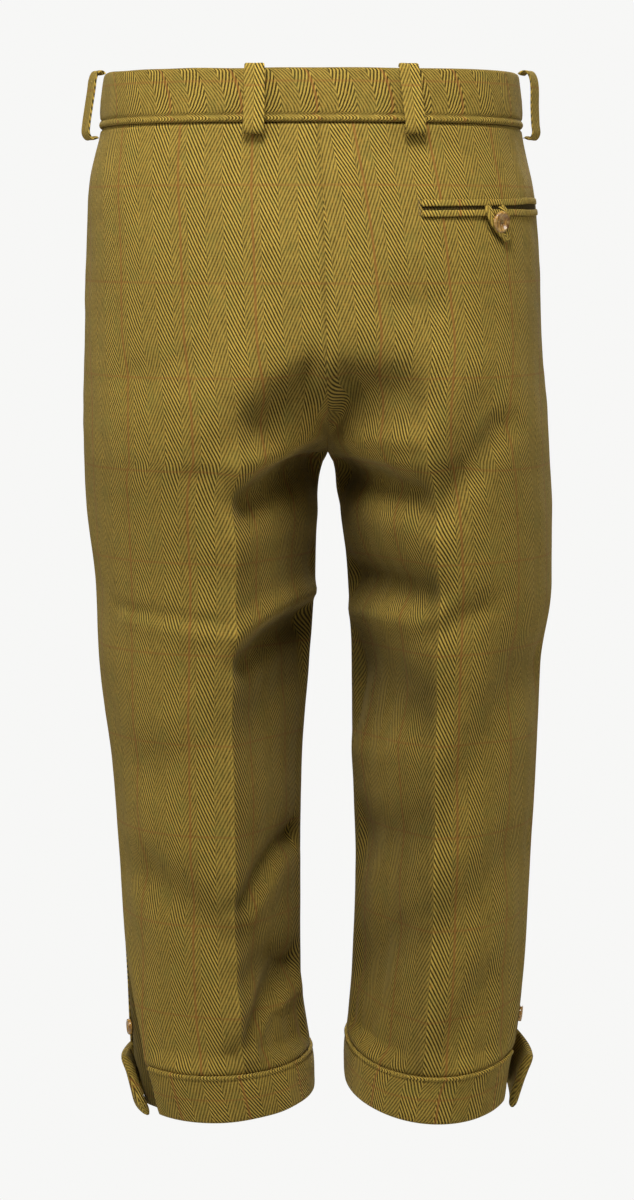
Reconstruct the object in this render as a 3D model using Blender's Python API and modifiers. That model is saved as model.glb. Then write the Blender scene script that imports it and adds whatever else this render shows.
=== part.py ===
"""Tweed knee breeches, filled out as worn, hollow, open at the waist and at both knee bands.

The wearer faces +Y and +X is the wearer's right. The origin is the middle of the waist opening.
Every cloth piece is a wall on one form: ovals at named levels, which part at the crotch into
two legs. On an oval an angle of 0 is the outseam, a positive angle goes round the back and a
negative one round the front, so the seams and whatever lies on a panel share the same points.
"""

from collections import namedtuple

import bpy
import numpy as np
from mathutils import Vector

NAME = "knee_breeches"

# Cloth, metres
WALL = 0.002
BAND_WALL = 0.003
BAND_PROUD = 0.001
SEAM = 0.0004
CLEAR = 0.0005
FACET_ROOM = 0.0011

# Heights along the outseam, metres, from the top of the waistband
WAIST_SEAM = -0.041
SEAT = -0.185
CROTCH = -0.2894
KNEE_SEAM = -0.760
HEM = -0.800
VENT_TOP = -0.627

# Ovals
SQUARENESS = 0.03
CREASE_HEIGHT = 0.004
CREASE_WIDTH = 13.0
CREASE_ANGLE = {"left": 107.0, "right": 98.0}
FRONT_CREASE = 90.0
CREASE_FROM = -0.27
CREASE_FULL = -0.37
VENT_ANGLE = {"left": 35.0, "right": 18.0}
UNDERLAP_TUCK = 13.0

# back and front are the depths of an oval, gap is half the space between the legs, tilt raises the
# inner side, rise lifts the whole right leg and lift the back of a leg (dip lowers the front).
Section = namedtuple(
    "Section", "level left_outer right_outer middle gap back front tilt right_rise left_lift right_lift dip"
)
SECTIONS = (
    Section(0.000, -0.1580, 0.1575, 0.0030, 0.0000, -0.113, 0.108, 0.000, 0.000, 0.002, 0.002, 0.010),
    Section(-0.041, -0.1620, 0.1610, 0.0055, 0.0000, -0.117, 0.111, 0.000, 0.000, 0.003, 0.003, 0.009),
    Section(-0.095, -0.1722, 0.1716, 0.0085, 0.0000, -0.128, 0.115, 0.000, 0.000, 0.002, 0.002, 0.005),
    Section(-0.145, -0.1742, 0.1755, 0.0103, 0.0000, -0.136, 0.117, 0.000, 0.000, 0.000, 0.000, 0.002),
    Section(-0.200, -0.1755, 0.1778, 0.0112, 0.0000, -0.139, 0.117, 0.000, 0.000, 0.000, 0.000, 0.000),
    Section(-0.2894, -0.1767, 0.1843, 0.0125, 0.0000, -0.130, 0.111, 0.000, 0.000, 0.000, 0.000, 0.000),
    Section(-0.297, -0.1766, 0.1848, 0.0125, 0.0038, -0.127, 0.109, 0.000, 0.000, 0.000, 0.000, 0.000),
    Section(-0.310, -0.1763, 0.1857, 0.0122, 0.0068, -0.124, 0.108, 0.000, 0.000, 0.000, 0.000, 0.000),
    Section(-0.330, -0.1752, 0.1868, 0.0130, 0.0090, -0.120, 0.106, 0.000, 0.000, 0.000, 0.000, 0.000),
    Section(-0.390, -0.1684, 0.1868, 0.0152, 0.0126, -0.111, 0.100, 0.000, 0.000, 0.000, 0.000, 0.000),
    Section(-0.452, -0.1660, 0.1790, 0.0145, 0.0160, -0.103, 0.096, 0.000, 0.000, 0.000, 0.000, 0.000),
    Section(-0.531, -0.1565, 0.1757, 0.0120, 0.0197, -0.097, 0.091, 0.000, 0.000, 0.000, 0.000, 0.000),
    Section(-0.627, -0.1500, 0.1708, 0.0125, 0.0213, -0.091, 0.084, 0.000, 0.002, -0.001, -0.006, -0.001),
    Section(-0.700, -0.1458, 0.1672, 0.0115, 0.0198, -0.085, 0.077, 0.001, 0.007, -0.003, -0.013, -0.004),
    Section(-0.760, -0.1432, 0.1618, 0.0130, 0.0142, -0.079, 0.070, 0.003, 0.012, -0.006, -0.019, -0.008),
    Section(-0.775, -0.1385, 0.1572, 0.0136, 0.0130, -0.077, 0.068, 0.005, 0.011, -0.007, -0.018, -0.008),
    Section(-0.800, -0.1335, 0.1545, 0.0139, 0.0123, -0.075, 0.066, 0.009, 0.009, -0.007, -0.017, -0.008),
)

# The largest folds: soft troughs (negative depth) and ridges between two places on a panel.
# across is the share of the way round from the outseam, 0, to the centre seam or inseam, 1.
Fold = namedtuple("Fold", "panel across_from level_from across_to level_to reach depth")
FOLDS = (
    Fold("back_right", 0.92, -0.215, 0.66, -0.262, 0.030, -0.007),
    Fold("back_right", 0.90, -0.315, 0.62, -0.300, 0.022, -0.006),
    Fold("back_right", 0.25, -0.270, 0.52, -0.345, 0.024, -0.005),
    Fold("back_left", 0.92, -0.300, 0.60, -0.345, 0.024, -0.007),
    Fold("back_left", 0.62, -0.450, 0.93, -0.430, 0.022, -0.006),
    Fold("back_left", 0.06, -0.424, 0.46, -0.430, 0.018, -0.004),
    Fold("back_left", 0.92, -0.235, 0.72, -0.262, 0.026, -0.004),
    Fold("front_left", 0.93, -0.250, 0.60, -0.290, 0.026, -0.005),
    Fold("front_right", 0.93, -0.245, 0.58, -0.300, 0.026, -0.005),
)
FOLD_MARGIN = 0.07

# Grid of a panel
WAIST_LEVELS = (-0.0415, -0.062, -0.088, -0.117, -0.150)
RISE_PARTS = (0.0, 0.20, 0.38, 0.55, 0.72, 0.87, 1.0)
LEG_LEVELS = (-0.300, -0.314, -0.335, -0.362, -0.395, -0.424, -0.455, -0.495,
              -0.540, -0.585, -0.627, -0.662, -0.700, -0.732, -0.7595)
PANEL_COLUMNS = (0.0, 0.012, 0.11, 0.22, 0.33, 0.43, 0.50, 0.57, 0.67, 0.78, 0.89, 0.988, 1.0)

# Belt loops: where each stands on the oval of the waist, degrees, and how far off it at two heights
BeltLoop = namedtuple("BeltLoop", "name side angle high_stand low_stand")
BELT_LOOPS = (
    BeltLoop("belt_loop_back_left", "left", 75.5, 0.0080, 0.0085),
    BeltLoop("belt_loop_back_right", "right", 66.5, 0.0080, 0.0085),
    BeltLoop("belt_loop_side_left", "left", 1.0, 0.0078, 0.0098),
    BeltLoop("belt_loop_side_right", "right", 1.0, 0.0115, 0.0095),
    BeltLoop("belt_loop_front_left", "left", -62.0, 0.0080, 0.0088),
    BeltLoop("belt_loop_front_right", "right", -62.0, 0.0082, 0.0085),
)
LOOP_WIDTH = 0.016
LOOP_WALL = 0.0026
# high and low are the shares of the two stands in each bend
LoopBend = namedtuple("LoopBend", "high low level")
LOOP_BENDS = (
    LoopBend(0.12, 0.00, 0.0018), LoopBend(0.62, 0.00, 0.0022), LoopBend(0.90, 0.00, -0.0030),
    LoopBend(1.00, 0.00, -0.0120), LoopBend(0.45, 0.55, -0.0240), LoopBend(0.00, 1.00, -0.0360),
    LoopBend(0.00, 0.72, -0.0470), LoopBend(0.00, 0.10, -0.0530),
)

# Pocket on the right back panel
POCKET_ANGLES = (12.0, 66.3)
POCKET_TOP = -0.0958
JET_HEIGHT = 0.0048
SLOT = 0.0026
JET_WALL = 0.0018
TAB_ANGLES = (33.7, 47.7)
TAB_DROP = 0.025
TAB_WALL = 0.0018
POCKET_BUTTON_ANGLE = 39.8
POCKET_BUTTON_LEVEL = -0.1126

# Buttons
BUTTON_THICK = 0.0032
SMALL_BUTTON = 0.0075
VENT_BUTTON = 0.0062
WAIST_BUTTON = 0.0085

# Knee bands and the tabs that close them: the oval angles of a tab's ends, how far its free
# corners stand off and how far its free end hangs down, degrees and metres
BandTab = namedtuple("BandTab", "side start end_top end_bottom stand_top stand_bottom droop")
BAND_TABS = (
    BandTab("left", -48.0, 7.0, 31.0, 0.0020, 0.0012, 0.0025),
    BandTab("right", -48.0, 5.0, 11.0, 0.0085, 0.0010, 0.0120),
)
TAB_TOP = -0.7615
TAB_BOTTOM = -0.7985
BAND_TAB_WALL = 0.0036

# Vents
UNDERLAP_BOW = 0.0035
UNDERLAP_EDGE = 2.0
VentButton = namedtuple("VentButton", "side angle level")
VENT_BUTTONS = (VentButton("left", 15.0, -0.738), VentButton("right", 8.0, -0.738))

Finish = namedtuple("Finish", "colour roughness metallic")
FINISHES = {
    "tweed": Finish((0.26, 0.19, 0.065, 1.0), 0.92, 0.0),
    "lining_side": Finish((0.17, 0.125, 0.045, 1.0), 0.95, 0.0),
    "horn": Finish((0.22, 0.10, 0.03, 1.0), 0.35, 0.0),
}


def clear_scene():
    for item in list(bpy.data.objects):
        bpy.data.objects.remove(item, do_unlink=True)


def make_collection(name):
    collection = bpy.data.collections.new(name)
    bpy.context.scene.collection.children.link(collection)
    return collection


def material(name):
    """The finish of that name, made once."""
    found = bpy.data.materials.get(name)
    if found:
        return found
    finish = FINISHES[name]
    made = bpy.data.materials.new(name)
    made.use_nodes = True
    shader = made.node_tree.nodes["Principled BSDF"]
    shader.inputs["Base Color"].default_value = finish.colour
    shader.inputs["Roughness"].default_value = finish.roughness
    shader.inputs["Metallic"].default_value = finish.metallic
    return made


def measure(name, level):
    """A column of SECTIONS at any level, on a smooth curve that never overshoots its rows."""
    levels = np.array([-row.level for row in SECTIONS])
    values = np.array([getattr(row, name) for row in SECTIONS])
    rises = np.diff(values) / np.diff(levels)
    same_way = rises[:-1] * rises[1:] > 0
    both = np.where(same_way, rises[:-1] + rises[1:], 1.0)
    slopes = np.zeros(len(levels))
    slopes[1:-1] = np.where(same_way, 2 * rises[:-1] * rises[1:] / both, 0.0)
    slopes[0], slopes[-1] = rises[0], rises[-1]
    at = np.clip(-np.asarray(level, dtype=float), levels[0], levels[-1])
    right = np.clip(np.searchsorted(levels, at, side="right"), 1, len(levels) - 1)
    left = right - 1
    span = levels[right] - levels[left]
    part = (at - levels[left]) / span
    start = (1 + 2 * part) * (1 - part) ** 2 * values[left] + part * (1 - part) ** 2 * span * slopes[left]
    end = part ** 2 * (3 - 2 * part) * values[right] - part ** 2 * (1 - part) * span * slopes[right]
    return start + end


def ease(value, low, high):
    """0 before low, 1 after high and a smooth step between."""
    part = np.clip((value - low) / (high - low), 0.0, 1.0)
    return part * part * (3 - 2 * part)


def sweep(level):
    """How far round its oval a panel reaches: 90 degrees above the seat, 180 below the crotch."""
    return 90.0 + np.degrees(np.arcsin(ease(-np.asarray(level, dtype=float), -SEAT, -CROTCH)))


def across_of(turn, squareness):
    return (1 + squareness) * np.cos(turn) - squareness * np.cos(3 * turn)


def depth_of(turn, squareness):
    return (1 + squareness) * np.sin(turn) + squareness * np.sin(3 * turn)


def form(side, level, angle):
    """Points of the outer surface of one side of the breeches, at these levels and oval angles."""
    level, angle = np.broadcast_arrays(np.asarray(level, dtype=float), np.asarray(angle, dtype=float))
    turn = np.radians(np.abs(angle))
    reach = np.radians(sweep(level))
    squareness = SQUARENESS * (1 - ease(-level, -SEAT, -CROTCH))
    outer = measure(side + "_outer", level)
    inner = measure("middle", level) + np.sign(outer) * (measure("gap", level) + SEAM / 2)
    half = (inner - outer) / (1 - across_of(reach, squareness))
    x = outer + half * (1 - across_of(turn, squareness))
    behind = angle >= 0
    depth = np.where(behind, measure("back", level), measure("front", level))
    ridge = CREASE_HEIGHT * ease(-level, -CREASE_FROM, -CREASE_FULL)
    from_crease = np.degrees(turn) - np.where(behind, CREASE_ANGLE[side], FRONT_CREASE)
    ridge = ridge * np.exp(-((from_crease / CREASE_WIDTH) ** 2))
    round_part = depth_of(turn, squareness)
    y = depth * round_part + np.sign(depth) * ridge
    drop = np.where(behind, measure(side + "_lift", level), -measure("dip", level))
    z = level + drop * round_part + measure("tilt", level) * (x - outer) / (inner - outer)
    if side == "right":
        z = z + measure("right_rise", level)
    return np.stack((x, y, z), axis=-1)


def outward(side, level, angle):
    """Unit normals of the form, from its slopes along the level and round the oval."""
    step_down, step_round = 0.002, 0.5
    down = form(side, level - step_down, angle) - form(side, level + step_down, angle)
    half_turn = form(side, level, angle + step_round) - form(side, level, angle - step_round)
    normal = np.cross(down, half_turn)
    if side == "right":
        normal = -normal
    return normal / np.linalg.norm(normal, axis=-1, keepdims=True)


def moved_out(side, level, angle, out):
    """Points of the form, moved out of it by that much."""
    level, angle, out = np.broadcast_arrays(
        np.asarray(level, dtype=float), np.asarray(angle, dtype=float), np.asarray(out, dtype=float)
    )
    return form(side, level, angle) + outward(side, level, angle) * out[..., None]


def build_shell(name, points, wall, finish, collection, flip=False):
    """An open surface through a grid of points, thickened inwards by Solidify."""
    rows, columns = points.shape[:2]
    index = np.arange(rows * columns).reshape(rows, columns)
    corners = (index[:-1, :-1], index[1:, :-1], index[1:, 1:], index[:-1, 1:])
    if flip:
        corners = corners[::-1]
    quads = np.stack(corners, axis=-1).reshape(-1, 4)
    mesh = bpy.data.meshes.new(name)
    mesh.from_pydata(points.reshape(-1, 3).tolist(), [], quads.tolist())
    mesh.shade_smooth()
    piece = bpy.data.objects.new(name, mesh)
    collection.objects.link(piece)
    mesh.materials.append(material(finish))
    solidify = piece.modifiers.new("wall", "SOLIDIFY")
    solidify.thickness = wall
    solidify.offset = -1.0
    return piece


def fold_depths(panel, across, level, points):
    """How far each point of a panel moves in or out for its folds.

    Each fold is a bell across the line between its two ends, faded along the line, and nothing
    moves near the seams, so the neighbouring panels still meet."""
    total = np.zeros(across.shape)
    for fold in FOLDS:
        if fold.panel != panel:
            continue
        half, side = panel.split("_")
        sign = 1.0 if half == "back" else -1.0
        places = []
        for part, height in ((fold.across_from, fold.level_from), (fold.across_to, fold.level_to)):
            places.append(form(side, height, sign * part * sweep(height)))
        line = places[1] - places[0]
        part = np.clip(((points - places[0]) @ line) / (line @ line), 0.0, 1.0)
        away = np.linalg.norm(points - places[0] - part[..., None] * line, axis=-1)
        total += fold.depth * np.exp(-(away / fold.reach) ** 2)
    edge = ease(across, 0.0, FOLD_MARGIN) * ease(1 - across, 0.0, FOLD_MARGIN)
    return total * edge


def vent_angle(side, level):
    """Where the back panel's edge stands open beside the vent, degrees from the outseam."""
    return VENT_ANGLE[side] * ease(-level, -VENT_TOP, -KNEE_SEAM)


def build_panel(half, side, collection):
    """A back or front panel: from the outseam to the centre seam above the crotch and the inseam below."""
    rise = SEAT + (CROTCH - SEAT) * np.array(RISE_PARTS)
    level = np.concatenate((WAIST_LEVELS, rise, LEG_LEVELS))[:, None]
    across = np.array(PANEL_COLUMNS)[None, :]
    level, across = np.broadcast_arrays(level, across)
    reach = sweep(level)
    start = vent_angle(side, level) if half == "back" else np.zeros(level.shape)
    crease = CREASE_ANGLE[side] if half == "back" else FRONT_CREASE
    middle = reach / 2 + (crease - 90.0) * (reach / 90.0 - 1.0)
    outer_part = start + (middle - start) * 2 * across
    inner_part = middle + (reach - middle) * (2 * across - 1)
    angle = np.where(across < 0.5, outer_part, inner_part)
    seam = np.degrees(SEAM / 2 / np.abs(measure(half, level)))
    below_crotch = ease(-level, -CROTCH - 0.001, -CROTCH)
    outer_half = np.clip(1 - 2 * across, 0.0, 1.0)
    inner_half = np.clip(2 * across - 1, 0.0, 1.0) * below_crotch
    angle = angle + seam * (outer_half - inner_half)
    if half == "front":
        angle = -angle
    points = moved_out(side, level, angle, 0.0)
    depths = fold_depths(half + "_" + side, across, level, points)
    points = points + outward(side, level, angle) * depths[..., None]
    flip = (half == "front") != (side == "right")
    return build_shell(half + "_" + side, points, WALL, "tweed", collection, flip)


def waist_ring(level, turn, out):
    """Points round the whole waist: turn 0 is the centre front, 90 the right side, 180 the centre back."""
    level, turn, out = np.broadcast_arrays(level, turn, out)
    wrapped = np.mod(turn, 360.0)
    right = moved_out("right", level, wrapped - 90.0, out)
    left = moved_out("left", level, 270.0 - wrapped, out)
    return np.where((wrapped < 180.0)[..., None], right, left)


def build_waistband(collection):
    """One band round the waist; its right end goes under its left end at the centre front."""
    under = np.array((-9.0, -6.0, -2.0, 1.0))
    round_waist = np.concatenate((np.array((5.0,)), np.arange(12.0, 354.0, 6.0), np.array((354.0, 359.0))))
    turn = np.concatenate((under, round_waist))[None, :]
    level = np.array((0.0, -0.013, -0.027, WAIST_SEAM + SEAM))[:, None]
    step_in = BAND_WALL + 1.4 * CLEAR
    out = BAND_PROUD - step_in * (1 - ease(turn, 1.0, 5.0))
    points = waist_ring(level, turn, out)
    return build_shell("waistband", points, BAND_WALL, "tweed", collection, True)


def build_belt_loops(collection):
    """Strips that stand off the waistband and end on the panels just below it."""
    levels = np.array([bend.level for bend in LOOP_BENDS])[:, None]
    middle = np.full(levels.shape, WAIST_SEAM / 2)
    for loop in BELT_LOOPS:
        stands = [bend.high * loop.high_stand + bend.low * loop.low_stand for bend in LOOP_BENDS]
        out = BAND_PROUD + LOOP_WALL / 2 + np.array(stands)[:, None]
        before, after = form(loop.side, WAIST_SEAM / 2, np.array((loop.angle - 0.5, loop.angle + 0.5)))
        spread = LOOP_WIDTH / 2 / np.linalg.norm(after - before)
        angle = loop.angle + np.linspace(-spread, spread, 4)[None, :]
        lean = form(loop.side, levels, angle) - form(loop.side, middle, angle)
        points = moved_out(loop.side, middle, angle, out) + lean
        build_shell(loop.name, points, LOOP_WALL, "tweed", collection, loop.side == "right")


def build_strip(name, side, angles, levels, out, wall, collection, finish="tweed"):
    """A strip on the form, a row of points for each level and a column for each angle."""
    level = np.array(levels)[:, None]
    angle = np.array(angles)[None, :]
    points = moved_out(side, level, angle, out)
    return build_shell(name, points, wall, finish, collection, side == "right")


def build_pocket(collection):
    """Two lips with a slot between them, and a pointed loop that hangs over the lower one."""
    angles = np.linspace(POCKET_ANGLES[0], POCKET_ANGLES[1], 12)
    upper = (POCKET_TOP, POCKET_TOP - JET_HEIGHT)
    lower = (upper[1] - SLOT, upper[1] - SLOT - JET_HEIGHT)
    out = CLEAR + JET_WALL
    build_strip("pocket_jet_upper", "right", angles, upper, out, JET_WALL, collection)
    build_strip("pocket_jet_lower", "right", angles, lower, out, JET_WALL, collection)
    across = np.linspace(-1.0, 1.0, 5)[None, :]
    down = np.array((0.0, 0.45, 0.75, 1.0))[:, None]
    middle = sum(TAB_ANGLES) / 2
    half = (TAB_ANGLES[1] - TAB_ANGLES[0]) / 2
    taper = 1 - 0.85 * ease(down, 0.45, 1.2)
    level = upper[1] - SLOT / 2 - TAB_DROP * down * (1 - 0.18 * np.abs(across))
    angle = middle + half * across * taper
    top = out + CLEAR + TAB_WALL
    points = moved_out("right", level, angle, np.broadcast_to(top, level.shape))
    build_shell("pocket_tab", points, TAB_WALL, "tweed", collection, True)
    place = (POCKET_BUTTON_LEVEL, POCKET_BUTTON_ANGLE, top + CLEAR)
    place_button("pocket_button", "right", place, SMALL_BUTTON, collection)


def turned_button(name, radius, collection):
    """A dished button turned about its own axis, its back at the origin."""
    rim = 0.0006
    outline = (
        (0.0, BUTTON_THICK * 0.62),
        (radius * 0.55, BUTTON_THICK * 0.68),
        (radius * 0.80, BUTTON_THICK),
        (radius * 0.94, BUTTON_THICK * 0.95),
        (radius, BUTTON_THICK * 0.60),
        (radius - rim, BUTTON_THICK * 0.15),
        (radius * 0.7, 0.0),
        (0.0, 0.0),
    )
    mesh = bpy.data.meshes.new(name)
    points = [(x, 0.0, z) for x, z in outline]
    edges = [(number, number + 1) for number in range(len(points) - 1)]
    mesh.from_pydata(points, edges, [])
    mesh.materials.append(material("horn"))
    piece = bpy.data.objects.new(name, mesh)
    collection.objects.link(piece)
    screw = piece.modifiers.new("turn", "SCREW")
    screw.steps = 12
    screw.render_steps = 12
    screw.use_merge_vertices = True
    screw.merge_threshold = 0.00005
    screw.use_smooth_shade = True
    return piece


def place_button(name, side, place, radius, collection):
    """A button whose back is parallel to the cloth. place is its level, its angle and how far out it is."""
    level, angle, out = place
    level_and_angle = (np.array(level), np.array(angle))
    centre = moved_out(side, *level_and_angle, out)
    normal = outward(side, *level_and_angle)
    button = turned_button(name, radius, collection)
    button.location = Vector(centre.tolist())
    button.rotation_mode = "QUATERNION"
    button.rotation_quaternion = Vector((0.0, 0.0, 1.0)).rotation_difference(Vector(normal.tolist()))
    return button


def build_fly(collection):
    """A strip behind the centre front opening, and the button of the waistband."""
    level = np.array((-0.043, -0.080, -0.120, -0.160, -0.195))[:, None]
    turn = np.array((-8.0, -3.0, 2.0, 6.0))[None, :]
    points = waist_ring(level, turn, -(WALL + FACET_ROOM))
    build_shell("fly_shield", points, WALL, "tweed", collection, True)
    place = (-0.020, -86.0, BAND_PROUD + CLEAR)
    place_button("waist_button", "left", place, WAIST_BUTTON, collection)


def build_knee_band(side, collection):
    """A band from the vent's back edge, round the inseam, to the vent's front edge."""
    level = np.array((KNEE_SEAM - SEAM, -0.768, -0.781, HEM))[:, None]
    back_end = VENT_ANGLE[side] + 4.0
    angle = np.concatenate((np.linspace(back_end, 176.0, 12), np.linspace(184.0, 357.0, 14)))[None, :]
    wrapped = np.where(angle > 180.0, angle - 360.0, angle)
    points = moved_out(side, level, wrapped, BAND_PROUD)
    build_shell("knee_band_" + side, points, BAND_WALL, "tweed", collection, side == "right")


def underlap_out(side, level, angle):
    """How far out the vent's filling strip is: tucked in at its edges and bowed out in the opening."""
    opening = np.maximum(vent_angle(side, level) - 2 * UNDERLAP_EDGE, 1.0)
    part = np.clip((angle - UNDERLAP_EDGE) / opening, 0.0, 1.0)
    bow = UNDERLAP_BOW * ease(opening, 3.0, 12.0) * np.sin(np.pi * part) ** 2
    return bow - (BAND_WALL + FACET_ROOM)


def build_vent_underlap(side, collection):
    """The strip that fills the vent, from behind the front panel to behind the back panel."""
    level = np.array((VENT_TOP + 0.010, -0.645, -0.675, -0.705, -0.735, -0.765, HEM + 0.002))[:, None]
    edge = vent_angle(side, level)
    opening = UNDERLAP_EDGE + (edge - 2 * UNDERLAP_EDGE) * np.linspace(0.0, 1.0, 5)[None, :]
    angle = np.concatenate((0.0 * edge - UNDERLAP_TUCK, opening, edge + UNDERLAP_TUCK), axis=1)
    angle = np.maximum.accumulate(angle, axis=1) + np.arange(angle.shape[1]) * 0.01
    points = moved_out(side, level, angle, underlap_out(side, level, angle))
    build_shell("vent_underlap_" + side, points, WALL, "lining_side", collection, side == "right")


def build_vent_buttons(collection):
    for button in VENT_BUTTONS:
        out = underlap_out(button.side, button.level, button.angle) + FACET_ROOM
        place = (button.level, button.angle, out)
        place_button("vent_button_" + button.side, button.side, place, VENT_BUTTON, collection)


def build_band_tab(tab, collection):
    """The tab from the front end of the knee band back over the vent; its free end is cut on a slant."""
    part = np.linspace(0.0, 1.0, 9)[None, :]
    down = np.linspace(0.0, 1.0, 5)[:, None]
    end = tab.end_top + (tab.end_bottom - tab.end_top) * down
    angle = tab.start + (end - tab.start) * part
    level = TAB_TOP + (TAB_BOTTOM - TAB_TOP) * down
    stand = tab.stand_top + (tab.stand_bottom - tab.stand_top) * down
    out = BAND_PROUD + CLEAR + FACET_ROOM / 2 + BAND_TAB_WALL + stand * ease(part, 0.35, 1.0)
    points = moved_out(tab.side, level, angle, out)
    points[..., 2] -= tab.droop * ease(part, 0.3, 1.0)
    build_shell("band_tab_" + tab.side, points, BAND_TAB_WALL, "tweed", collection, tab.side == "right")


def main():
    clear_scene()
    collection = make_collection(NAME)
    build_waistband(collection)
    build_belt_loops(collection)
    for side in ("left", "right"):
        for half in ("back", "front"):
            build_panel(half, side, collection)
        build_knee_band(side, collection)
        build_vent_underlap(side, collection)
    for tab in BAND_TABS:
        build_band_tab(tab, collection)
    build_vent_buttons(collection)
    build_pocket(collection)
    build_fly(collection)


main()
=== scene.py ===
# %% [markdown]
# Knee breeches in herringbone tweed, as a tailor cuts them: two backs, two fronts, a waistband with
# belt loops, a jetted back pocket, bands under the knees and a vent above each band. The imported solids
# give every place. Here each piece becomes a thin shell of cloth with its folds, creases and weave.

# %% The frame
from collections import namedtuple

import bpy
import numpy as np
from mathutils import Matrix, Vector


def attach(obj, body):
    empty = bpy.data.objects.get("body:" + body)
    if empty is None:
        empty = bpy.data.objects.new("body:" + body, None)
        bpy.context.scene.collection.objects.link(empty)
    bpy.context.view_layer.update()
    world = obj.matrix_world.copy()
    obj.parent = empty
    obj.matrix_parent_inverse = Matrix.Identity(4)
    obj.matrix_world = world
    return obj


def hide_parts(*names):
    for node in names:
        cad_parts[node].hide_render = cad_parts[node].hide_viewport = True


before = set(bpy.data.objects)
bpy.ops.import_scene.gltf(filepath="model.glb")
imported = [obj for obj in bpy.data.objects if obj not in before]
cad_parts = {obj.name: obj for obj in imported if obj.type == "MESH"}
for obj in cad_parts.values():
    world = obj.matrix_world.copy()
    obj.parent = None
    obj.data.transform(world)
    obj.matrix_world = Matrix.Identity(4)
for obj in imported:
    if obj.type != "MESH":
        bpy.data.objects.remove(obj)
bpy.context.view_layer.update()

print("nodes to dress:", len(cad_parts))

# %% [markdown]
# All the cloth lies on one form: ovals at named levels, which part at the crotch into two legs. The
# same form shaped the solids, so a shell made on it needs no fitting. A row for each section is
# easier to read and to alter than a sculpted mesh, and a smooth curve through the rows does the rest.

# %% The form's sizes
WAIST_SEAM, SEAT, CROTCH, KNEE_SEAM, HEM, VENT_TOP = -0.041, -0.185, -0.2894, -0.760, -0.800, -0.627
SEAM = 0.0004
SQUARENESS = 0.03
VENT_ANGLE = {"left": 35.0, "right": 18.0}
Section = namedtuple(
    "Section", "level left_outer right_outer middle gap back front tilt right_rise left_lift right_lift dip"
)
SECTIONS = (
    Section(0.000, -0.1580, 0.1575, 0.0030, 0.0000, -0.113, 0.108, 0.000, 0.000, 0.002, 0.002, 0.010),
    Section(-0.041, -0.1620, 0.1610, 0.0055, 0.0000, -0.117, 0.111, 0.000, 0.000, 0.003, 0.003, 0.009),
    Section(-0.095, -0.1722, 0.1716, 0.0085, 0.0000, -0.128, 0.115, 0.000, 0.000, 0.002, 0.002, 0.005),
    Section(-0.145, -0.1742, 0.1755, 0.0103, 0.0000, -0.136, 0.117, 0.000, 0.000, 0.000, 0.000, 0.002),
    Section(-0.200, -0.1755, 0.1778, 0.0112, 0.0000, -0.139, 0.117, 0.000, 0.000, 0.000, 0.000, 0.000),
    Section(-0.2894, -0.1767, 0.1843, 0.0125, 0.0000, -0.130, 0.111, 0.000, 0.000, 0.000, 0.000, 0.000),
    Section(-0.297, -0.1766, 0.1848, 0.0125, 0.0038, -0.127, 0.109, 0.000, 0.000, 0.000, 0.000, 0.000),
    Section(-0.310, -0.1763, 0.1857, 0.0122, 0.0068, -0.124, 0.108, 0.000, 0.000, 0.000, 0.000, 0.000),
    Section(-0.330, -0.1752, 0.1868, 0.0130, 0.0090, -0.120, 0.106, 0.000, 0.000, 0.000, 0.000, 0.000),
    Section(-0.390, -0.1684, 0.1868, 0.0152, 0.0126, -0.111, 0.100, 0.000, 0.000, 0.000, 0.000, 0.000),
    Section(-0.452, -0.1660, 0.1790, 0.0145, 0.0160, -0.103, 0.096, 0.000, 0.000, 0.000, 0.000, 0.000),
    Section(-0.531, -0.1565, 0.1757, 0.0120, 0.0197, -0.097, 0.091, 0.000, 0.000, 0.000, 0.000, 0.000),
    Section(-0.627, -0.1500, 0.1708, 0.0125, 0.0213, -0.091, 0.084, 0.000, 0.002, -0.001, -0.006, -0.001),
    Section(-0.700, -0.1458, 0.1672, 0.0115, 0.0198, -0.085, 0.077, 0.001, 0.007, -0.003, -0.013, -0.004),
    Section(-0.760, -0.1432, 0.1618, 0.0130, 0.0142, -0.079, 0.070, 0.003, 0.012, -0.006, -0.019, -0.008),
    Section(-0.775, -0.1385, 0.1572, 0.0136, 0.0130, -0.077, 0.068, 0.005, 0.011, -0.007, -0.018, -0.008),
    Section(-0.800, -0.1335, 0.1545, 0.0139, 0.0123, -0.075, 0.066, 0.009, 0.009, -0.007, -0.017, -0.008),
)


def measure(name, level):
    """A column of SECTIONS at any level: cubic curves between the rows, with slopes that never overshoot."""
    levels = np.array([-row.level for row in SECTIONS])
    values = np.array([getattr(row, name) for row in SECTIONS])
    rises = np.diff(values) / np.diff(levels)
    same_way = rises[:-1] * rises[1:] > 0
    both = np.where(same_way, rises[:-1] + rises[1:], 1.0)
    slopes = np.concatenate((rises[:1], np.where(same_way, 2 * rises[:-1] * rises[1:] / both, 0.0), rises[-1:]))
    at = np.clip(-np.asarray(level, dtype=float), levels[0], levels[-1])
    right = np.clip(np.searchsorted(levels, at, side="right"), 1, len(levels) - 1)
    left = right - 1
    span = levels[right] - levels[left]
    part = (at - levels[left]) / span
    start = (1 + 2 * part) * (1 - part) ** 2 * values[left] + part * (1 - part) ** 2 * span * slopes[left]
    end = part ** 2 * (3 - 2 * part) * values[right] - part ** 2 * (1 - part) * span * slopes[right]
    return start + end


def ease(value, low, high):
    """0 before low, 1 after high, and 3t^2 - 2t^3 between."""
    part = np.clip((value - low) / (high - low), 0.0, 1.0)
    return part * part * (3 - 2 * part)


def bell(value, reach):
    """exp(-(value / reach)^2): 1 at the middle, nothing two reaches away."""
    return np.exp(-((value / reach) ** 2))


print("sections:", len(SECTIONS))

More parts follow.
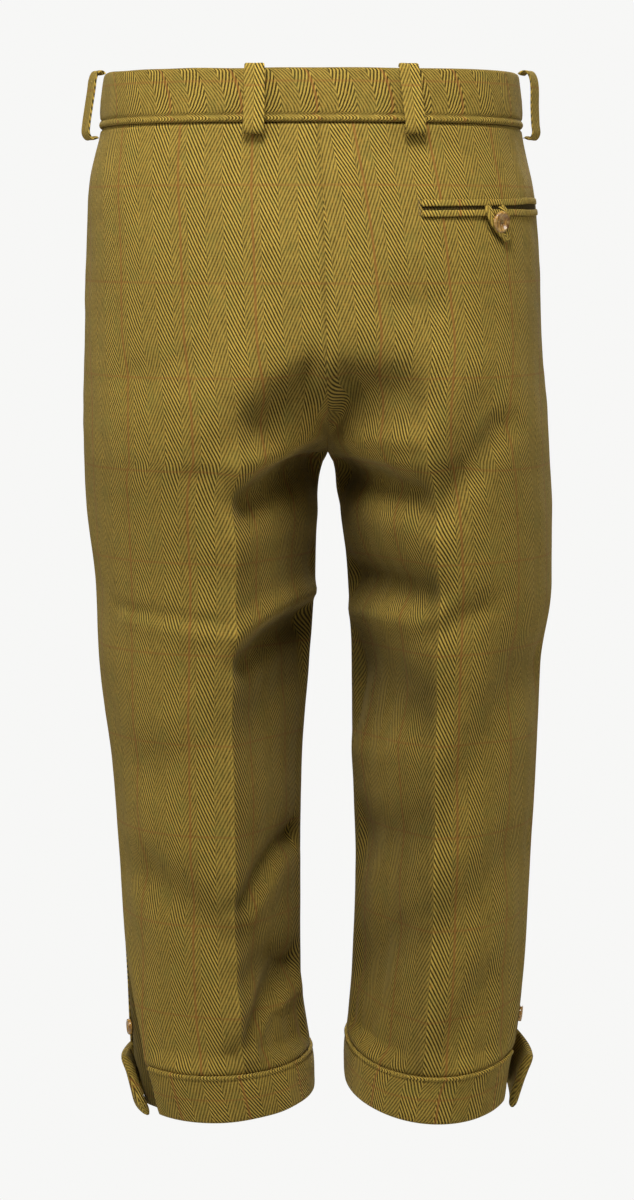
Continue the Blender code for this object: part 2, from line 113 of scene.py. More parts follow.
# %% [markdown]
# A point of the form is found from a side, a level and an angle round the oval. The angle is 0 at the
# outseam, positive round the back and negative round the front, so each panel is a plain grid.

# %% Points and normals of the form


def sweep(level):
    """How far round its oval a panel reaches: 90 degrees above the seat, 180 below the crotch."""
    return 90.0 + np.degrees(np.arcsin(ease(-np.asarray(level, dtype=float), -SEAT, -CROTCH)))


def form(side, level, angle):
    """The oval of that level: x from (1+q)cos t - q cos 3t, y from (1+q)sin t + q sin 3t, then z."""
    level, angle = np.broadcast_arrays(np.asarray(level, dtype=float), np.asarray(angle, dtype=float))
    turn, reach = np.radians(np.abs(angle)), np.radians(sweep(level))
    square = SQUARENESS * (1 - ease(-level, -SEAT, -CROTCH))
    outer = measure(side + "_outer", level)
    inner = measure("middle", level) + np.sign(outer) * measure("gap", level)
    width = 1 - ((1 + square) * np.cos(reach) - square * np.cos(3 * reach))
    x = outer + (inner - outer) / width * (1 - ((1 + square) * np.cos(turn) - square * np.cos(3 * turn)))
    behind = angle >= 0
    round_part = (1 + square) * np.sin(turn) + square * np.sin(3 * turn)
    y = np.where(behind, measure("back", level), measure("front", level)) * round_part
    drop = np.where(behind, measure(side + "_lift", level), -measure("dip", level))
    z = level + drop * round_part + measure("tilt", level) * (x - outer) / (inner - outer)
    if side == "right":
        z = z + measure("right_rise", level)
    return np.stack((x, y, z), axis=-1)


def outward(side, level, angle):
    """Unit normals: the cross product of the form's slopes down the level and round the oval."""
    down = form(side, level - 0.002, angle) - form(side, level + 0.002, angle)
    across = form(side, level, angle + 0.5) - form(side, level, angle - 0.5)
    normal = np.cross(down, across) * (-1.0 if side == "right" else 1.0)
    return normal / np.linalg.norm(normal, axis=-1, keepdims=True)


def moved_out(side, level, angle, out):
    """Points of the form moved out along its normals."""
    level, angle, out = np.broadcast_arrays(*(np.asarray(v, dtype=float) for v in (level, angle, out)))
    return form(side, level, angle) + outward(side, level, angle) * out[..., None]


def waist_ring(level, turn, out):
    """Points round the whole waist: turn 0 is the centre front, 90 the right side, 180 the centre back."""
    level, turn, out = np.broadcast_arrays(level, turn, out)
    wrapped = np.mod(turn, 360.0)
    right = moved_out("right", level, wrapped - 90.0, out)
    left = moved_out("left", level, 270.0 - wrapped, out)
    return np.where((wrapped < 180.0)[..., None], right, left)


def vent_angle(side, level):
    """Where the back's edge stands open beside the vent, degrees from the outseam."""
    return VENT_ANGLE[side] * ease(-level, -VENT_TOP, -KNEE_SEAM)


print("seat depth:", round(float(form("left", SEAT, 90.0)[1]), 4))

# %% [markdown]
# The camera stands behind the wearer, a little above the middle, and looks slightly down. It comes
# first, so that every later piece can be looked at from the right place.

# %% Camera
CAMERA_AT, LOOKS_AT = Vector((0.004, -2.8, -0.097)), Vector((0.004, 0.0, -0.405))
SEEN_HEIGHT = 0.936
camera_data = bpy.data.cameras.new("camera")
camera_data.sensor_width = 36.0
camera_data.lens = 36.0 * (LOOKS_AT - CAMERA_AT).length / SEEN_HEIGHT
camera = bpy.data.objects.new("camera", camera_data)
camera.location = CAMERA_AT
camera.rotation_mode = "QUATERNION"
camera.rotation_quaternion = (LOOKS_AT - CAMERA_AT).to_track_quat("-Z", "Y")
bpy.context.scene.collection.objects.link(camera)
bpy.context.scene.camera = camera
bpy.context.scene.view_settings.view_transform = "Standard"
print("lens:", round(camera_data.lens, 1), "mm")

# %% [markdown]
# Shader sums read best as sums. A Wire holds an output socket, and + - * / on it add Math nodes. A
# Finish holds one material: node() adds any other node from its type, its settings and its inputs.

# %% Shader helpers


class Wire:
    """A node's output socket that takes part in Python expressions."""

    def __init__(self, finish, socket):
        self.finish, self.socket = finish, socket

    def math(self, operation, *values):
        return self.finish.node("ShaderNodeMath", {"operation": operation}, dict(enumerate(values)))

    def __add__(self, other):
        return self.math("ADD", self, other)

    def __sub__(self, other):
        return self.math("SUBTRACT", self, other)

    def __rsub__(self, other):
        return self.math("SUBTRACT", other, self)

    def __mul__(self, other):
        return self.math("MULTIPLY", self, other)

    def __truediv__(self, other):
        return self.math("DIVIDE", self, other)

    def clamp(self):
        return self.finish.node("ShaderNodeClamp", {}, {"Value": self})

    __radd__, __rmul__ = __add__, __mul__


class Finish:
    """A material with a Principled shader, and one way to add any other node."""

    def __init__(self, name, **constants):
        self.material = bpy.data.materials.new(name)
        self.material.use_nodes = True
        self.tree = self.material.node_tree
        self.shader = self.tree.nodes["Principled BSDF"]
        for key, value in constants.items():
            self.shader.inputs[key.replace("_", " ").title().replace("Ior", "IOR")].default_value = value

    def node(self, kind, settings, inputs, output=0):
        made = self.tree.nodes.new(kind)
        for key, value in settings.items():
            setattr(made, key, value)
        for key, value in inputs.items():
            if isinstance(value, Wire):
                self.tree.links.new(value.socket, made.inputs[key])
            else:
                made.inputs[key].default_value = value
        return Wire(self, made.outputs[output])

    def mix(self, factor, first, second):
        """first where factor is 0 and second where it is 1, for colours."""
        mixed = self.node("ShaderNodeMix", {"data_type": "RGBA"}, {0: factor, 6: first, 7: second}, 2)
        return mixed

    def noise(self, vector, scale, detail=2.0):
        return self.node("ShaderNodeTexNoise", {}, {"Vector": vector, "Scale": scale, "Detail": detail})

    def stretched(self, vector, across, down):
        """The same place with its two directions scaled, for streaks that follow a yarn."""
        scale = {"operation": "MULTIPLY"}
        return self.node("ShaderNodeVectorMath", scale, {0: vector, 1: (across, down, 1.0)})

    def feed(self, name, wire):
        self.tree.links.new(wire.socket, self.shader.inputs[name])


# %% [markdown]
# Tweed in herringbone: the twill climbs one way for a stripe of 14 mm and the other way for the next.
# On the real cloth a pale warp floats over a dark weft, so the twill is a wave of light and dark, and
# a row of hairs gives it depth. A thin rust yarn every fourth stripe and a fainter brown one crossing
# it make the overcheck. All of it reads the cloth's own flat measure, in metres, kept as its UV map.

# %% Tweed
STRIPE = 0.0140
TWILL_ACROSS, TWILL_DOWN = 0.00255, 0.0052
CHECK_ACROSS, CHECK_DOWN = 0.056, 0.070
CHECK_YARN = 0.0011
PALE = (0.590, 0.400, 0.072, 1.0)
DARK = (0.052, 0.035, 0.006, 1.0)
RUST = (0.300, 0.115, 0.026, 1.0)
ORANGE = (0.430, 0.230, 0.036, 1.0)
GREEN = (0.215, 0.190, 0.036, 1.0)


def tweed(name, tone=1.0, check_at=(0.022, 0.016), contrast=1.0):
    """tone scales the whole cloth's colour, check_at is where the overcheck's first yarns lie."""
    cloth = Finish(name, roughness=0.93, sheen_weight=0.13, sheen_roughness=0.45, specular_ior_level=0.12)
    cloth.shader.inputs["Sheen Tint"].default_value = (0.85, 0.72, 0.42, 1.0)
    place = cloth.node("ShaderNodeUVMap", {"uv_map": "cloth"}, {})
    parts = cloth.node("ShaderNodeSeparateXYZ", {}, {0: place})
    across, down = parts, Wire(cloth, parts.socket.node.outputs[1])
    sway = (cloth.noise(place, 38.0) - 0.5) * 0.0011
    across = across + sway
    stripe = (across / STRIPE).math("FLOOR", across / STRIPE)
    odd = stripe.math("PINGPONG", stripe, 1.0)
    climb = (odd * 2.0 - 1.0) * (down / TWILL_DOWN)
    phase = (across / TWILL_ACROSS + climb + odd * 0.5) * (2 * np.pi)
    wave = phase.math("COSINE", phase) * 0.5 + 0.5
    warp = cloth.noise(cloth.stretched(place, 1500.0, 90.0), 1.0, 3.0)
    weft = cloth.noise(cloth.stretched(place, 110.0, 950.0), 1.0, 2.0)
    fleck = cloth.noise(cloth.stretched(place, 420.0, 190.0), 1.0, 3.0)
    heather = cloth.noise(place, 55.0, 3.0)
    # Painted shade and highlight: each piece gives its points a value that darkens or lightens the cloth's colour.
    painted_shade_and_highlight = cloth.node("ShaderNodeAttribute", {"attribute_name": "painted_shade_and_highlight"}, {}, 2)
    strength = (1.35 - odd * 0.75) * contrast
    yarn = (wave - 0.5) * strength + 0.44 + (warp - 0.5) * 0.75 + (weft - 0.5) * 0.30
    colour = cloth.mix(yarn.clamp(), DARK, PALE)
    colour = cloth.mix(((fleck - 0.55) * 4.0).clamp() * 0.62, colour, ORANGE)
    colour = cloth.mix(((heather - 0.52) * 4.0).clamp() * 0.38, colour, GREEN)
    from_warp = (across - check_at[0]).math("PINGPONG", across - check_at[0], CHECK_ACROSS / 2)
    from_weft = (down - check_at[1]).math("PINGPONG", down - check_at[1], CHECK_DOWN / 2)
    warp_yarn = ((CHECK_YARN - from_warp) * 2600.0).clamp() * 0.60
    weft_yarn = ((CHECK_YARN - from_weft) * 2600.0).clamp() * (0.20 + 0.30 * warp)
    colour = cloth.mix(warp_yarn, colour, RUST)
    colour = cloth.mix(weft_yarn, colour, RUST)
    # The painted shade and highlight moves the brightness by 0.30 of its value.
    bright = (0.86 + (cloth.noise(place, 9.0) - 0.5) * 0.22 + painted_shade_and_highlight * 0.30) * tone
    colour = cloth.node("ShaderNodeVectorMath", {"operation": "SCALE"}, {0: colour, 3: bright})
    cloth.feed("Base Color", colour)
    height = wave * strength * 0.7 + warp * 0.5 + weft * 0.3
    bump = cloth.node("ShaderNodeBump", {}, {"Strength": 0.55, "Distance": 0.0004, "Height": height})
    cloth.feed("Normal", bump)
    cloth.feed("Roughness", 0.86 + (fleck - 0.5) * 0.16)
    return cloth.material


CLOTH = {
    "left": tweed("tweed_left", check_at=(0.022, 0.016)),
    "right": tweed("tweed_right", check_at=(0.018, 0.016)),
    "band": tweed("tweed_band", tone=0.98, check_at=(0.030, 0.220)),
    "trim": tweed("tweed_trim", tone=1.16, check_at=(0.030, 0.300)),
    # A darker copy of the tweed for the pieces that lie in shade inside: painted shade.
    "inner": tweed("tweed_inner_painted_shade", tone=0.42, check_at=(0.030, 0.300)),
}
print("cloth finishes:", ", ".join(CLOTH))

# %% [markdown]
# Horn is polished and a little clear, with streaks that follow its growth. The thread is mercerised
# cotton, so it has a fine twist and more gloss than the wool.

# %% Horn and thread


def horn(name):
    """Brown to amber streaks across the button, under a polish."""
    finish = Finish(name, roughness=0.22, coat_weight=0.6, coat_roughness=0.08)
    place = finish.node("ShaderNodeTexCoord", {}, {}, 3)
    streaks = finish.noise(finish.stretched(place, 160.0, 700.0), 1.0, 4.0)
    mottle = finish.noise(place, 260.0, 2.0)
    base = finish.mix(((streaks - 0.38) * 3.4).clamp(), (0.150, 0.060, 0.014, 1.0), (0.62, 0.34, 0.085, 1.0))
    finish.feed("Base Color", finish.mix((mottle - 0.45).clamp() * 1.6, base, (0.75, 0.52, 0.18, 1.0)))
    finish.feed("Roughness", 0.16 + mottle * 0.18)
    bump = finish.node("ShaderNodeBump", {}, {"Strength": 0.2, "Distance": 0.0002, "Height": streaks})
    finish.feed("Normal", bump)
    return finish.material


def thread(name):
    """Mustard cotton with a fine twist."""
    finish = Finish(name, roughness=0.6, sheen_weight=0.1)
    place = finish.node("ShaderNodeTexCoord", {}, {}, 3)
    twist = finish.node("ShaderNodeTexWave", {}, {"Vector": place, "Scale": 900.0, "Distortion": 1.0}, 1)
    finish.feed("Base Color", finish.mix(twist, (0.20, 0.13, 0.03, 1.0), (0.42, 0.29, 0.08, 1.0)))
    bump = finish.node("ShaderNodeBump", {}, {"Strength": 0.4, "Distance": 0.0001, "Height": twist})
    finish.feed("Normal", bump)
    return finish.material


HORN, THREAD = horn("horn_polished"), thread("cotton_thread")

# %% [markdown]
# Two kinds of mesh are enough. A sheet is a grid of points with a wall, as Solidify gives it. A roll is
# a closed profile carried along a path, for doubled cloth whose edges are rounded folds.

# %% Mesh helpers


def give_flat_measure(mesh, flat):
    """Writes each corner's place on the flat cloth, in metres, to the UV map named cloth."""
    corners = np.empty(len(mesh.loops), dtype=np.int32)
    mesh.loops.foreach_get("vertex_index", corners)
    layer = mesh.uv_layers.new(name="cloth")
    layer.data.foreach_set("uv", flat.reshape(-1, 2)[corners].astype(np.float32).ravel())


def make_piece(name, points, faces, flat, finish, painted_shade_and_highlight=None):
    mesh = bpy.data.meshes.new(name)
    mesh.from_pydata(points.reshape(-1, 3).tolist(), [], faces)
    mesh.shade_smooth()
    mesh.materials.append(finish)
    if flat is not None:
        give_flat_measure(mesh, flat)
        # Painted shade and highlight for each point, nothing where a piece gives none.
        tone = np.zeros(points.reshape(-1, 3).shape[0]) if painted_shade_and_highlight is None else painted_shade_and_highlight.ravel()
        mesh.attributes.new("painted_shade_and_highlight", "FLOAT", "POINT").data.foreach_set("value", tone.astype(np.float32))
    piece = bpy.data.objects.new(name, mesh)
    bpy.context.scene.collection.objects.link(piece)
    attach(piece, "root")
    return piece


def grid_faces(rows, columns, closed=False, flip=False):
    """Quads between neighbouring rows and columns; closed joins the last row to the first."""
    index = np.arange(rows * columns).reshape(rows, columns)
    if closed:
        index = np.concatenate((index, index[:1]))
    corners = (index[:-1, :-1], index[1:, :-1], index[1:, 1:], index[:-1, 1:])
    if flip:
        corners = corners[::-1]
    return np.stack(corners, axis=-1).reshape(-1, 4).tolist()


def make_sheet(name, points, flat, wall, finish, flip=False, painted_shade_and_highlight=None):
    """A grid of points (row, column) as a sheet, with its wall on the inside."""
    piece = make_piece(name, points, grid_faces(*points.shape[:2], flip=flip), flat, finish, painted_shade_and_highlight)
    solidify = piece.modifiers.new("wall", "SOLIDIFY")
    solidify.thickness = wall
    solidify.offset = -1.0
    return piece


def make_roll(name, points, flat, finish, flip=False, painted_shade_and_highlight=None):
    """points is (profile point, station, xyz): the profile is closed, and both ends are capped."""
    around, stations = points.shape[:2]
    faces = grid_faces(around, stations, closed=True, flip=flip)
    first, last = np.arange(around) * stations, np.arange(around) * stations + stations - 1
    start, end = (first, last[::-1]) if flip else (first[::-1], last)
    return make_piece(name, points, faces + [start.tolist(), end.tolist()], flat, finish, painted_shade_and_highlight)


def length_along(points, axis=0):
    """Distance travelled along an axis of a grid of points, from its first row or column."""
    steps = np.linalg.norm(np.diff(points, axis=axis), axis=-1)
    start = np.zeros_like(np.take(steps, [0], axis=axis))
    return np.concatenate((start, np.cumsum(steps, axis=axis)), axis=axis)


def state_sheet(piece, flat, rests_on=(), area=None):
    """Prints the name of a piece of cloth and the cut that shows."""
    print(piece.name, "flat", [round(float(v), 3) for v in flat], "area", None if area is None else round(area, 4))


# %% [markdown]
# The folds are what make it cloth. Each one is a soft trough (negative depth) or ridge between two
# places, seen from straight behind or in front. skew tips it, so that one flank is steeper, as where
# the cloth hangs over itself. They are placed one by one, and no two are alike.

# %% Folds
FOLDED = 1.45
Fold = namedtuple("Fold", "x_from z_from x_to z_to reach depth skew")
FOLDS = {
    "back_right": (
        Fold(0.018, -0.238, 0.064, -0.236, 0.026, -0.0100, -0.25),
        Fold(0.020, -0.274, 0.074, -0.271, 0.010, 0.0030, 0.0),
        Fold(0.022, -0.302, 0.076, -0.311, 0.013, -0.0080, -0.5),
        Fold(0.030, -0.341, 0.080, -0.341, 0.020, 0.0030, 0.0),
        Fold(0.033, -0.386, 0.086, -0.391, 0.014, -0.0060, 0.4),
        Fold(0.030, -0.412, 0.089, -0.409, 0.010, 0.0030, 0.0),
        Fold(0.036, -0.455, 0.080, -0.475, 0.028, -0.0055, 0.0),
        Fold(0.088, -0.568, 0.038, -0.584, 0.022, -0.0040, 0.0),
        Fold(0.128, -0.243, 0.100, -0.300, 0.014, -0.0030, 0.0),
        Fold(0.141, -0.262, 0.092, -0.326, 0.012, -0.0050, -0.3),
        Fold(0.134, -0.399, 0.094, -0.415, 0.010, -0.0032, 0.0),
        Fold(0.164, -0.451, 0.113, -0.533, 0.020, -0.0042, 0.0),
        Fold(0.158, -0.591, 0.097, -0.645, 0.020, -0.0030, 0.0),
        Fold(0.069, -0.169, 0.090, -0.173, 0.014, -0.0018, 0.0),
        Fold(0.140, -0.690, 0.100, -0.742, 0.014, -0.0026, 0.0),
        Fold(0.060, -0.655, 0.030, -0.690, 0.018, -0.0030, 0.0),
        Fold(0.070, -0.508, 0.030, -0.520, 0.016, 0.0022, 0.0),
    ),
    "back_left": (
        Fold(0.008, -0.222, -0.037, -0.259, 0.017, -0.0070, -0.2),
        Fold(-0.134, -0.222, -0.091, -0.213, 0.016, -0.0022, 0.0),
        Fold(0.000, -0.270, -0.058, -0.292, 0.011, 0.0030, 0.0),
        Fold(0.004, -0.293, -0.049, -0.318, 0.013, -0.0080, -0.5),
        Fold(-0.002, -0.340, -0.045, -0.352, 0.018, 0.0024, 0.0),
        Fold(0.002, -0.397, -0.053, -0.415, 0.009, 0.0040, 0.0),
        Fold(0.001, -0.416, -0.049, -0.440, 0.013, -0.0070, -0.5),
        Fold(-0.006, -0.452, -0.044, -0.480, 0.024, -0.0040, 0.0),
        Fold(-0.150, -0.403, -0.057, -0.413, 0.0050, -0.0015, 0.3),
        Fold(-0.145, -0.412, -0.060, -0.422, 0.0070, 0.0009, 0.0),
        Fold(-0.130, -0.607, -0.060, -0.648, 0.018, -0.0042, -0.2),
        Fold(-0.009, -0.584, -0.052, -0.628, 0.010, -0.0055, -0.4),
        Fold(-0.012, -0.600, -0.045, -0.640, 0.012, 0.0025, 0.0),
        Fold(-0.012, -0.688, -0.057, -0.750, 0.010, -0.0050, 0.2),
        Fold(-0.004, -0.704, -0.046, -0.752, 0.008, 0.0026, 0.0),
        Fold(-0.021, -0.726, -0.036, -0.745, 0.006, -0.0024, 0.0),
        Fold(-0.023, -0.676, -0.051, -0.690, 0.012, -0.0032, 0.0),
        Fold(-0.120, -0.520, -0.075, -0.500, 0.020, -0.0022, 0.0),
    ),
    "front_right": (
        Fold(0.018, -0.232, 0.075, -0.262, 0.016, -0.0060, -0.3),
        Fold(0.024, -0.262, 0.095, -0.300, 0.013, -0.0050, -0.3),
        Fold(0.030, -0.318, 0.075, -0.345, 0.018, 0.0025, 0.0),
        Fold(0.140, -0.120, 0.090, -0.180, 0.016, -0.0024, 0.0),
        Fold(0.040, -0.440, 0.110, -0.462, 0.014, -0.0036, 0.3),
        Fold(0.150, -0.470, 0.080, -0.505, 0.013, -0.0030, 0.0),
        Fold(0.045, -0.600, 0.100, -0.640, 0.016, -0.0032, 0.0),
        Fold(0.145, -0.700, 0.095, -0.745, 0.012, -0.0026, 0.0),
    ),
    "front_left": (
        Fold(0.002, -0.236, -0.060, -0.266, 0.017, -0.0065, -0.3),
        Fold(-0.004, -0.268, -0.072, -0.310, 0.013, -0.0052, -0.3),
        Fold(-0.010, -0.330, -0.060, -0.350, 0.018, 0.0024, 0.0),
        Fold(-0.135, -0.130, -0.085, -0.175, 0.016, -0.0022, 0.0),
        Fold(-0.012, -0.448, -0.080, -0.470, 0.012, -0.0040, 0.3),
        Fold(-0.135, -0.455, -0.070, -0.490, 0.014, -0.0028, 0.0),
        Fold(-0.030, -0.612, -0.095, -0.655, 0.014, -0.0034, 0.0),
        Fold(-0.020, -0.700, -0.060, -0.748, 0.011, -0.0032, 0.0),
    ),
}


def folded(panel, points):
    """Sum over the folds of depth * (1 + skew * s / reach) * exp(-(d / reach)^2), where d is the
    distance from the fold's line in x and z, and s the same distance with a sign: up is positive."""
    total = np.zeros(points.shape[:2])
    seen = points[..., (0, 2)]
    for fold in FOLDS[panel]:
        start, end = np.array((fold.x_from, fold.z_from)), np.array((fold.x_to, fold.z_to))
        line = end - start
        part = np.clip(((seen - start) @ line) / (line @ line), 0.0, 1.0)
        away = seen - start - part[..., None] * line
        up = np.array((-line[1], line[0])) * np.sign(line[0]) / np.linalg.norm(line)
        shape = bell(np.linalg.norm(away, axis=-1), fold.reach)
        total += fold.depth * shape * (1 + fold.skew * (away @ up) / fold.reach)
    return total * FOLDED


def uneven(points, seed, size, amount):
    """Sum of six sine waves of mixed directions, about size long, for cloth that never lies quite flat."""
    chance = np.random.default_rng(seed)
    total = np.zeros(points.shape[:-1])
    for _ in range(6):
        way = chance.normal(size=3)
        way *= 2 * np.pi / (size * chance.uniform(0.7, 1.6)) / np.linalg.norm(way)
        total += np.sin(points @ way + chance.uniform(0, 2 * np.pi)) / 6
    return total * amount


print("folds:", {panel: len(rows) for panel, rows in FOLDS.items()})

# %% [markdown]
# Each panel is a grid from the outseam to the centre seam, and below the crotch to the inseam. Its
# middle column follows the pressed crease and, above it, the straight grain. Between the crease and
# the seams the cloth is pressed flatter than the form, and its edges turn in where they are sewn.

# %% Panels
WALL = 0.0014
CREASE_ANGLE = {("back", "left"): 107.0, ("back", "right"): 98.0, ("front", "left"): 88.0, ("front", "right"): 88.0}
GRAIN_ANGLE = {("back", "left"): 67.0, ("back", "right"): 69.6, ("front", "left"): 60.0, ("front", "right"): 60.0}
CREASE_START = {("back", "left"): 0.235, ("back", "right"): 0.180, ("front", "left"): 0.10, ("front", "right"): 0.10}
CREASE_HEIGHT, CREASE_REACH, CREASE_TIP = 0.0052, 9.0, 0.8
PRESSED = {"outer": 0.0045, "inner": 0.0105}
SEAM_DEPTH, SEAM_REACH = 0.0016, 0.0024
TUCK_DOWN, TUCK_IN, OVERLAP = 0.005, 0.0036, 0.10
ROWS, HALF_COLUMNS = 270, 62


def clustered(count, closeness):
    """Numbers from 0 to 1 that crowd towards both ends."""
    even = np.linspace(0.0, 1.0, count)
    return even - closeness * np.sin(2 * np.pi * even) / (2 * np.pi)


def crease_angle(half, side, level):
    """The angle of the grain line: it is a share of the panel's width, seen from straight behind, and
    the share passes slowly from the one at the waist to the one at the leg's crease."""
    high = 1 - np.cos(np.radians(GRAIN_ANGLE[half, side]))
    low = (1 - np.cos(np.radians(CREASE_ANGLE[half, side]))) / 2
    share = high + (low - high) * ease(-level, -0.04, 0.24)
    return np.degrees(np.arccos(1 - (1 - np.cos(np.radians(sweep(level)))) * share))


def panel_points(half, side):
    """The panel's grid standing proud of the form, its flat measure, and its painted shade and highlight."""
    level = (WAIST_SEAM + (KNEE_SEAM - WAIST_SEAM) * clustered(ROWS, 0.55))[:, None]
    level = np.concatenate((level[:1] + TUCK_DOWN, level, level[-1:] - TUCK_DOWN))
    part = np.concatenate((clustered(HALF_COLUMNS, 0.75), 1 + clustered(HALF_COLUMNS, 0.75)[1:]))[None, :]
    level, part = np.broadcast_arrays(level, part)
    reach, crease = sweep(level), crease_angle(half, side, level)
    start = vent_angle(side, level) if half == "back" else np.zeros(level.shape)
    angle = np.where(part < 1, start + (crease - start) * part, crease + (reach - crease) * (part - 1))
    angle = angle + OVERLAP * (part - 1) * np.where(part < 1, start < 1.0, True)
    signed = angle if half == "back" else -angle
    base = form(side, level, signed)
    round_it = length_along(base, axis=1)
    middle = HALF_COLUMNS - 1
    from_grain = round_it - round_it[:, middle:middle + 1]
    full = ease(-level, CREASE_START[half, side], CREASE_START[half, side] + 0.10)
    ridge = np.exp(-np.sqrt((angle - crease) ** 2 + CREASE_TIP ** 2) / CREASE_REACH) * CREASE_HEIGHT * full
    legs = ease(-level, 0.25, 0.36)
    share = part - np.floor(np.minimum(part, 1.999))
    inside = part >= 1
    press = np.where(inside, PRESSED["inner"], PRESSED["outer"]) * np.sin(np.pi * share) * legs
    fold = folded(half + "_" + side, base)
    top, low = WAIST_SEAM - level, level - KNEE_SEAM
    pucker = bell(low, 0.030) * 0.0007 * np.sin(from_grain * 390 + np.sin(from_grain * 61) * 3)
    waist_ease = bell(top, 0.022) * 0.0003 * np.sin(from_grain * 300 + np.sin(from_grain * 43) * 3)
    proud = ridge - press + fold + uneven(base, len(half + side), 0.075, 0.0016)
    proud += uneven(base, len(side), 0.028, 0.0007) + pucker + waist_ease
    left_edge, right_edge = round_it, round_it[:, -1:] - round_it
    keep = ease(left_edge, 0.0, 0.022) * ease(right_edge, 0.0, 0.016) * ease(top, 0.0, 0.02) * ease(low, 0.0, 0.016)
    outseam = bell(left_edge, SEAM_REACH) * (1 - ease(-level, -VENT_TOP - 0.02, -VENT_TOP))
    crotch = (1 - ease(-level, -SEAT, -SEAT + 0.05)) + ease(-level, -CROTCH, -CROTCH + 0.008)
    inner_seam = bell(right_edge, SEAM_REACH) * crotch
    turned_in = np.maximum.reduce((outseam, inner_seam, bell(top, 0.0016), 0.5 * bell(low, 0.0016)))
    proud = proud * keep - SEAM_DEPTH * turned_in
    proud = np.where((top < 0) | (low < 0), -TUCK_IN, proud)
    points = base + outward(side, level, signed) * proud[..., None]
    towards_right = -1.0 if (side == "right") == (half == "back") else 1.0
    flat = np.stack((from_grain * towards_right, -level), axis=-1)
    # Painted shade and highlight: darker in fold troughs, on the leg's inner half and at the sewn edges, lighter on
    # fold ridges and along the crease.
    painted_shade_and_highlight = np.clip(fold / 0.008, -1, 0.4) * 0.75 + full * bell(angle - crease, 2.2) * 0.35 - 0.75 * legs * inside
    return points, flat, painted_shade_and_highlight - 0.25 * turned_in


for half in ("back", "front"):
    for side in ("left", "right"):
        points, flat, painted_shade_and_highlight = panel_points(half, side)
        name = half + "_panel_" + side
        flip = (half == "front") != (side == "right")
        panel = make_sheet(name, points, flat, WALL, CLOTH[side], flip, painted_shade_and_highlight)
        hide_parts(half + "_" + side)
        widths = np.abs(flat[:, -1, 0] - flat[:, 0, 0])
        long = float(length_along(points[:, HALF_COLUMNS - 1:HALF_COLUMNS])[-1, 0])
        area = float(np.trapz(widths, flat[:, 0, 1])) * long / (float(flat[-1, 0, 1] - flat[0, 0, 1]))
        state_sheet(panel, (float(widths.max()), long), ["waistband"], area)

# %% [markdown]
# The waistband is one doubled strip. Its profile is drawn once: a rounded fold along the top, a plain
# face, a sunk line of stitching and a small roll over the seam. It is carried round the waist, and its
# right end steps in to lie under the left end at the centre front.

# %% Waistband
Profile = namedtuple("Profile", "out level")
WAIST_PROFILE = (
    Profile(-0.0006, -0.0405), Profile(0.0008, -0.0402), Profile(0.0015, -0.0393), Profile(0.0016, -0.0378),
    Profile(0.0012, -0.0363), Profile(0.0001, -0.0353), Profile(0.0000, -0.0349), Profile(0.0010, -0.0338),
    Profile(0.0015, -0.0290), Profile(0.0018, -0.0200), Profile(0.0016, -0.0100), Profile(0.0013, -0.0030),
    Profile(0.0010, -0.0009), Profile(0.0002, 0.0002), Profile(-0.0008, 0.0004), Profile(-0.0018, -0.0004),
    Profile(-0.0022, -0.0018), Profile(-0.0022, -0.0200), Profile(-0.0022, -0.0395),
)
BAND_STEP = 0.0037


def spread(rows, count):
    """The rows of a table as an array, with count points spaced evenly along its length."""
    table = np.array(rows, dtype=float)
    steps = np.concatenate(((0.0,), np.cumsum(np.linalg.norm(np.diff(table, axis=0), axis=1))))
    at = np.linspace(0.0, steps[-1], count)
    return np.stack([np.interp(at, steps, column) for column in table.T], axis=-1)


def band_flat(points, level, start=0.0):
    """Flat measure of a band: distance round it, and its level."""
    return np.stack((length_along(points, axis=1) + start, np.broadcast_to(-level, points.shape[:2])), axis=-1)


profile = spread(WAIST_PROFILE + WAIST_PROFILE[:1], 58)[:-1]
turn = np.concatenate((np.linspace(-9.0, 5.0, 18), np.linspace(5.0, 359.0, 380)[1:]))[None, :]
level = profile[:, 1:2]
out = profile[:, 0:1] - BAND_STEP * (1 - ease(turn, 1.0, 5.0))
smooth_ring = waist_ring(level, turn, 0.0 * out)
ripple = uneven(smooth_ring, 5, 0.045, 0.0013) * ease(-level, 0.0, 0.008) * (1 - ease(-level, 0.030, 0.040))
wave = uneven(smooth_ring, 9, 0.060, 0.0009) * (1 - ease(-level, 0.0, 0.030))
points = waist_ring(level + wave, turn, out + ripple)
# Painted highlight on the small roll over the seam, painted shade in the sunk line of stitching and along the top fold.
shade = 0.25 * bell(profile[:, 0:1] - 0.0016, 0.0006) * bell(level + 0.0380, 0.002) - 0.8 * bell(level + 0.0351, 0.0007)
shade = np.broadcast_to(shade - 0.35 * bell(level - 0.0002, 0.0012), points.shape[:2])
waistband = make_roll("waistband_cloth", points, band_flat(points, level, 0.006), CLOTH["band"], False, shade)
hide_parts("waistband")
state_sheet(waistband, (float(length_along(points, axis=1)[0, -1]), 0.043))

# %% [markdown]
# A belt loop is a narrow strip folded so that its raw edges are inside. It is tacked at the top, stands
# off the band so that a belt can pass, and is folded under and tacked just below the waist seam. The
# path comes from the same bends as its solid, and a rounded flat profile is carried along it.

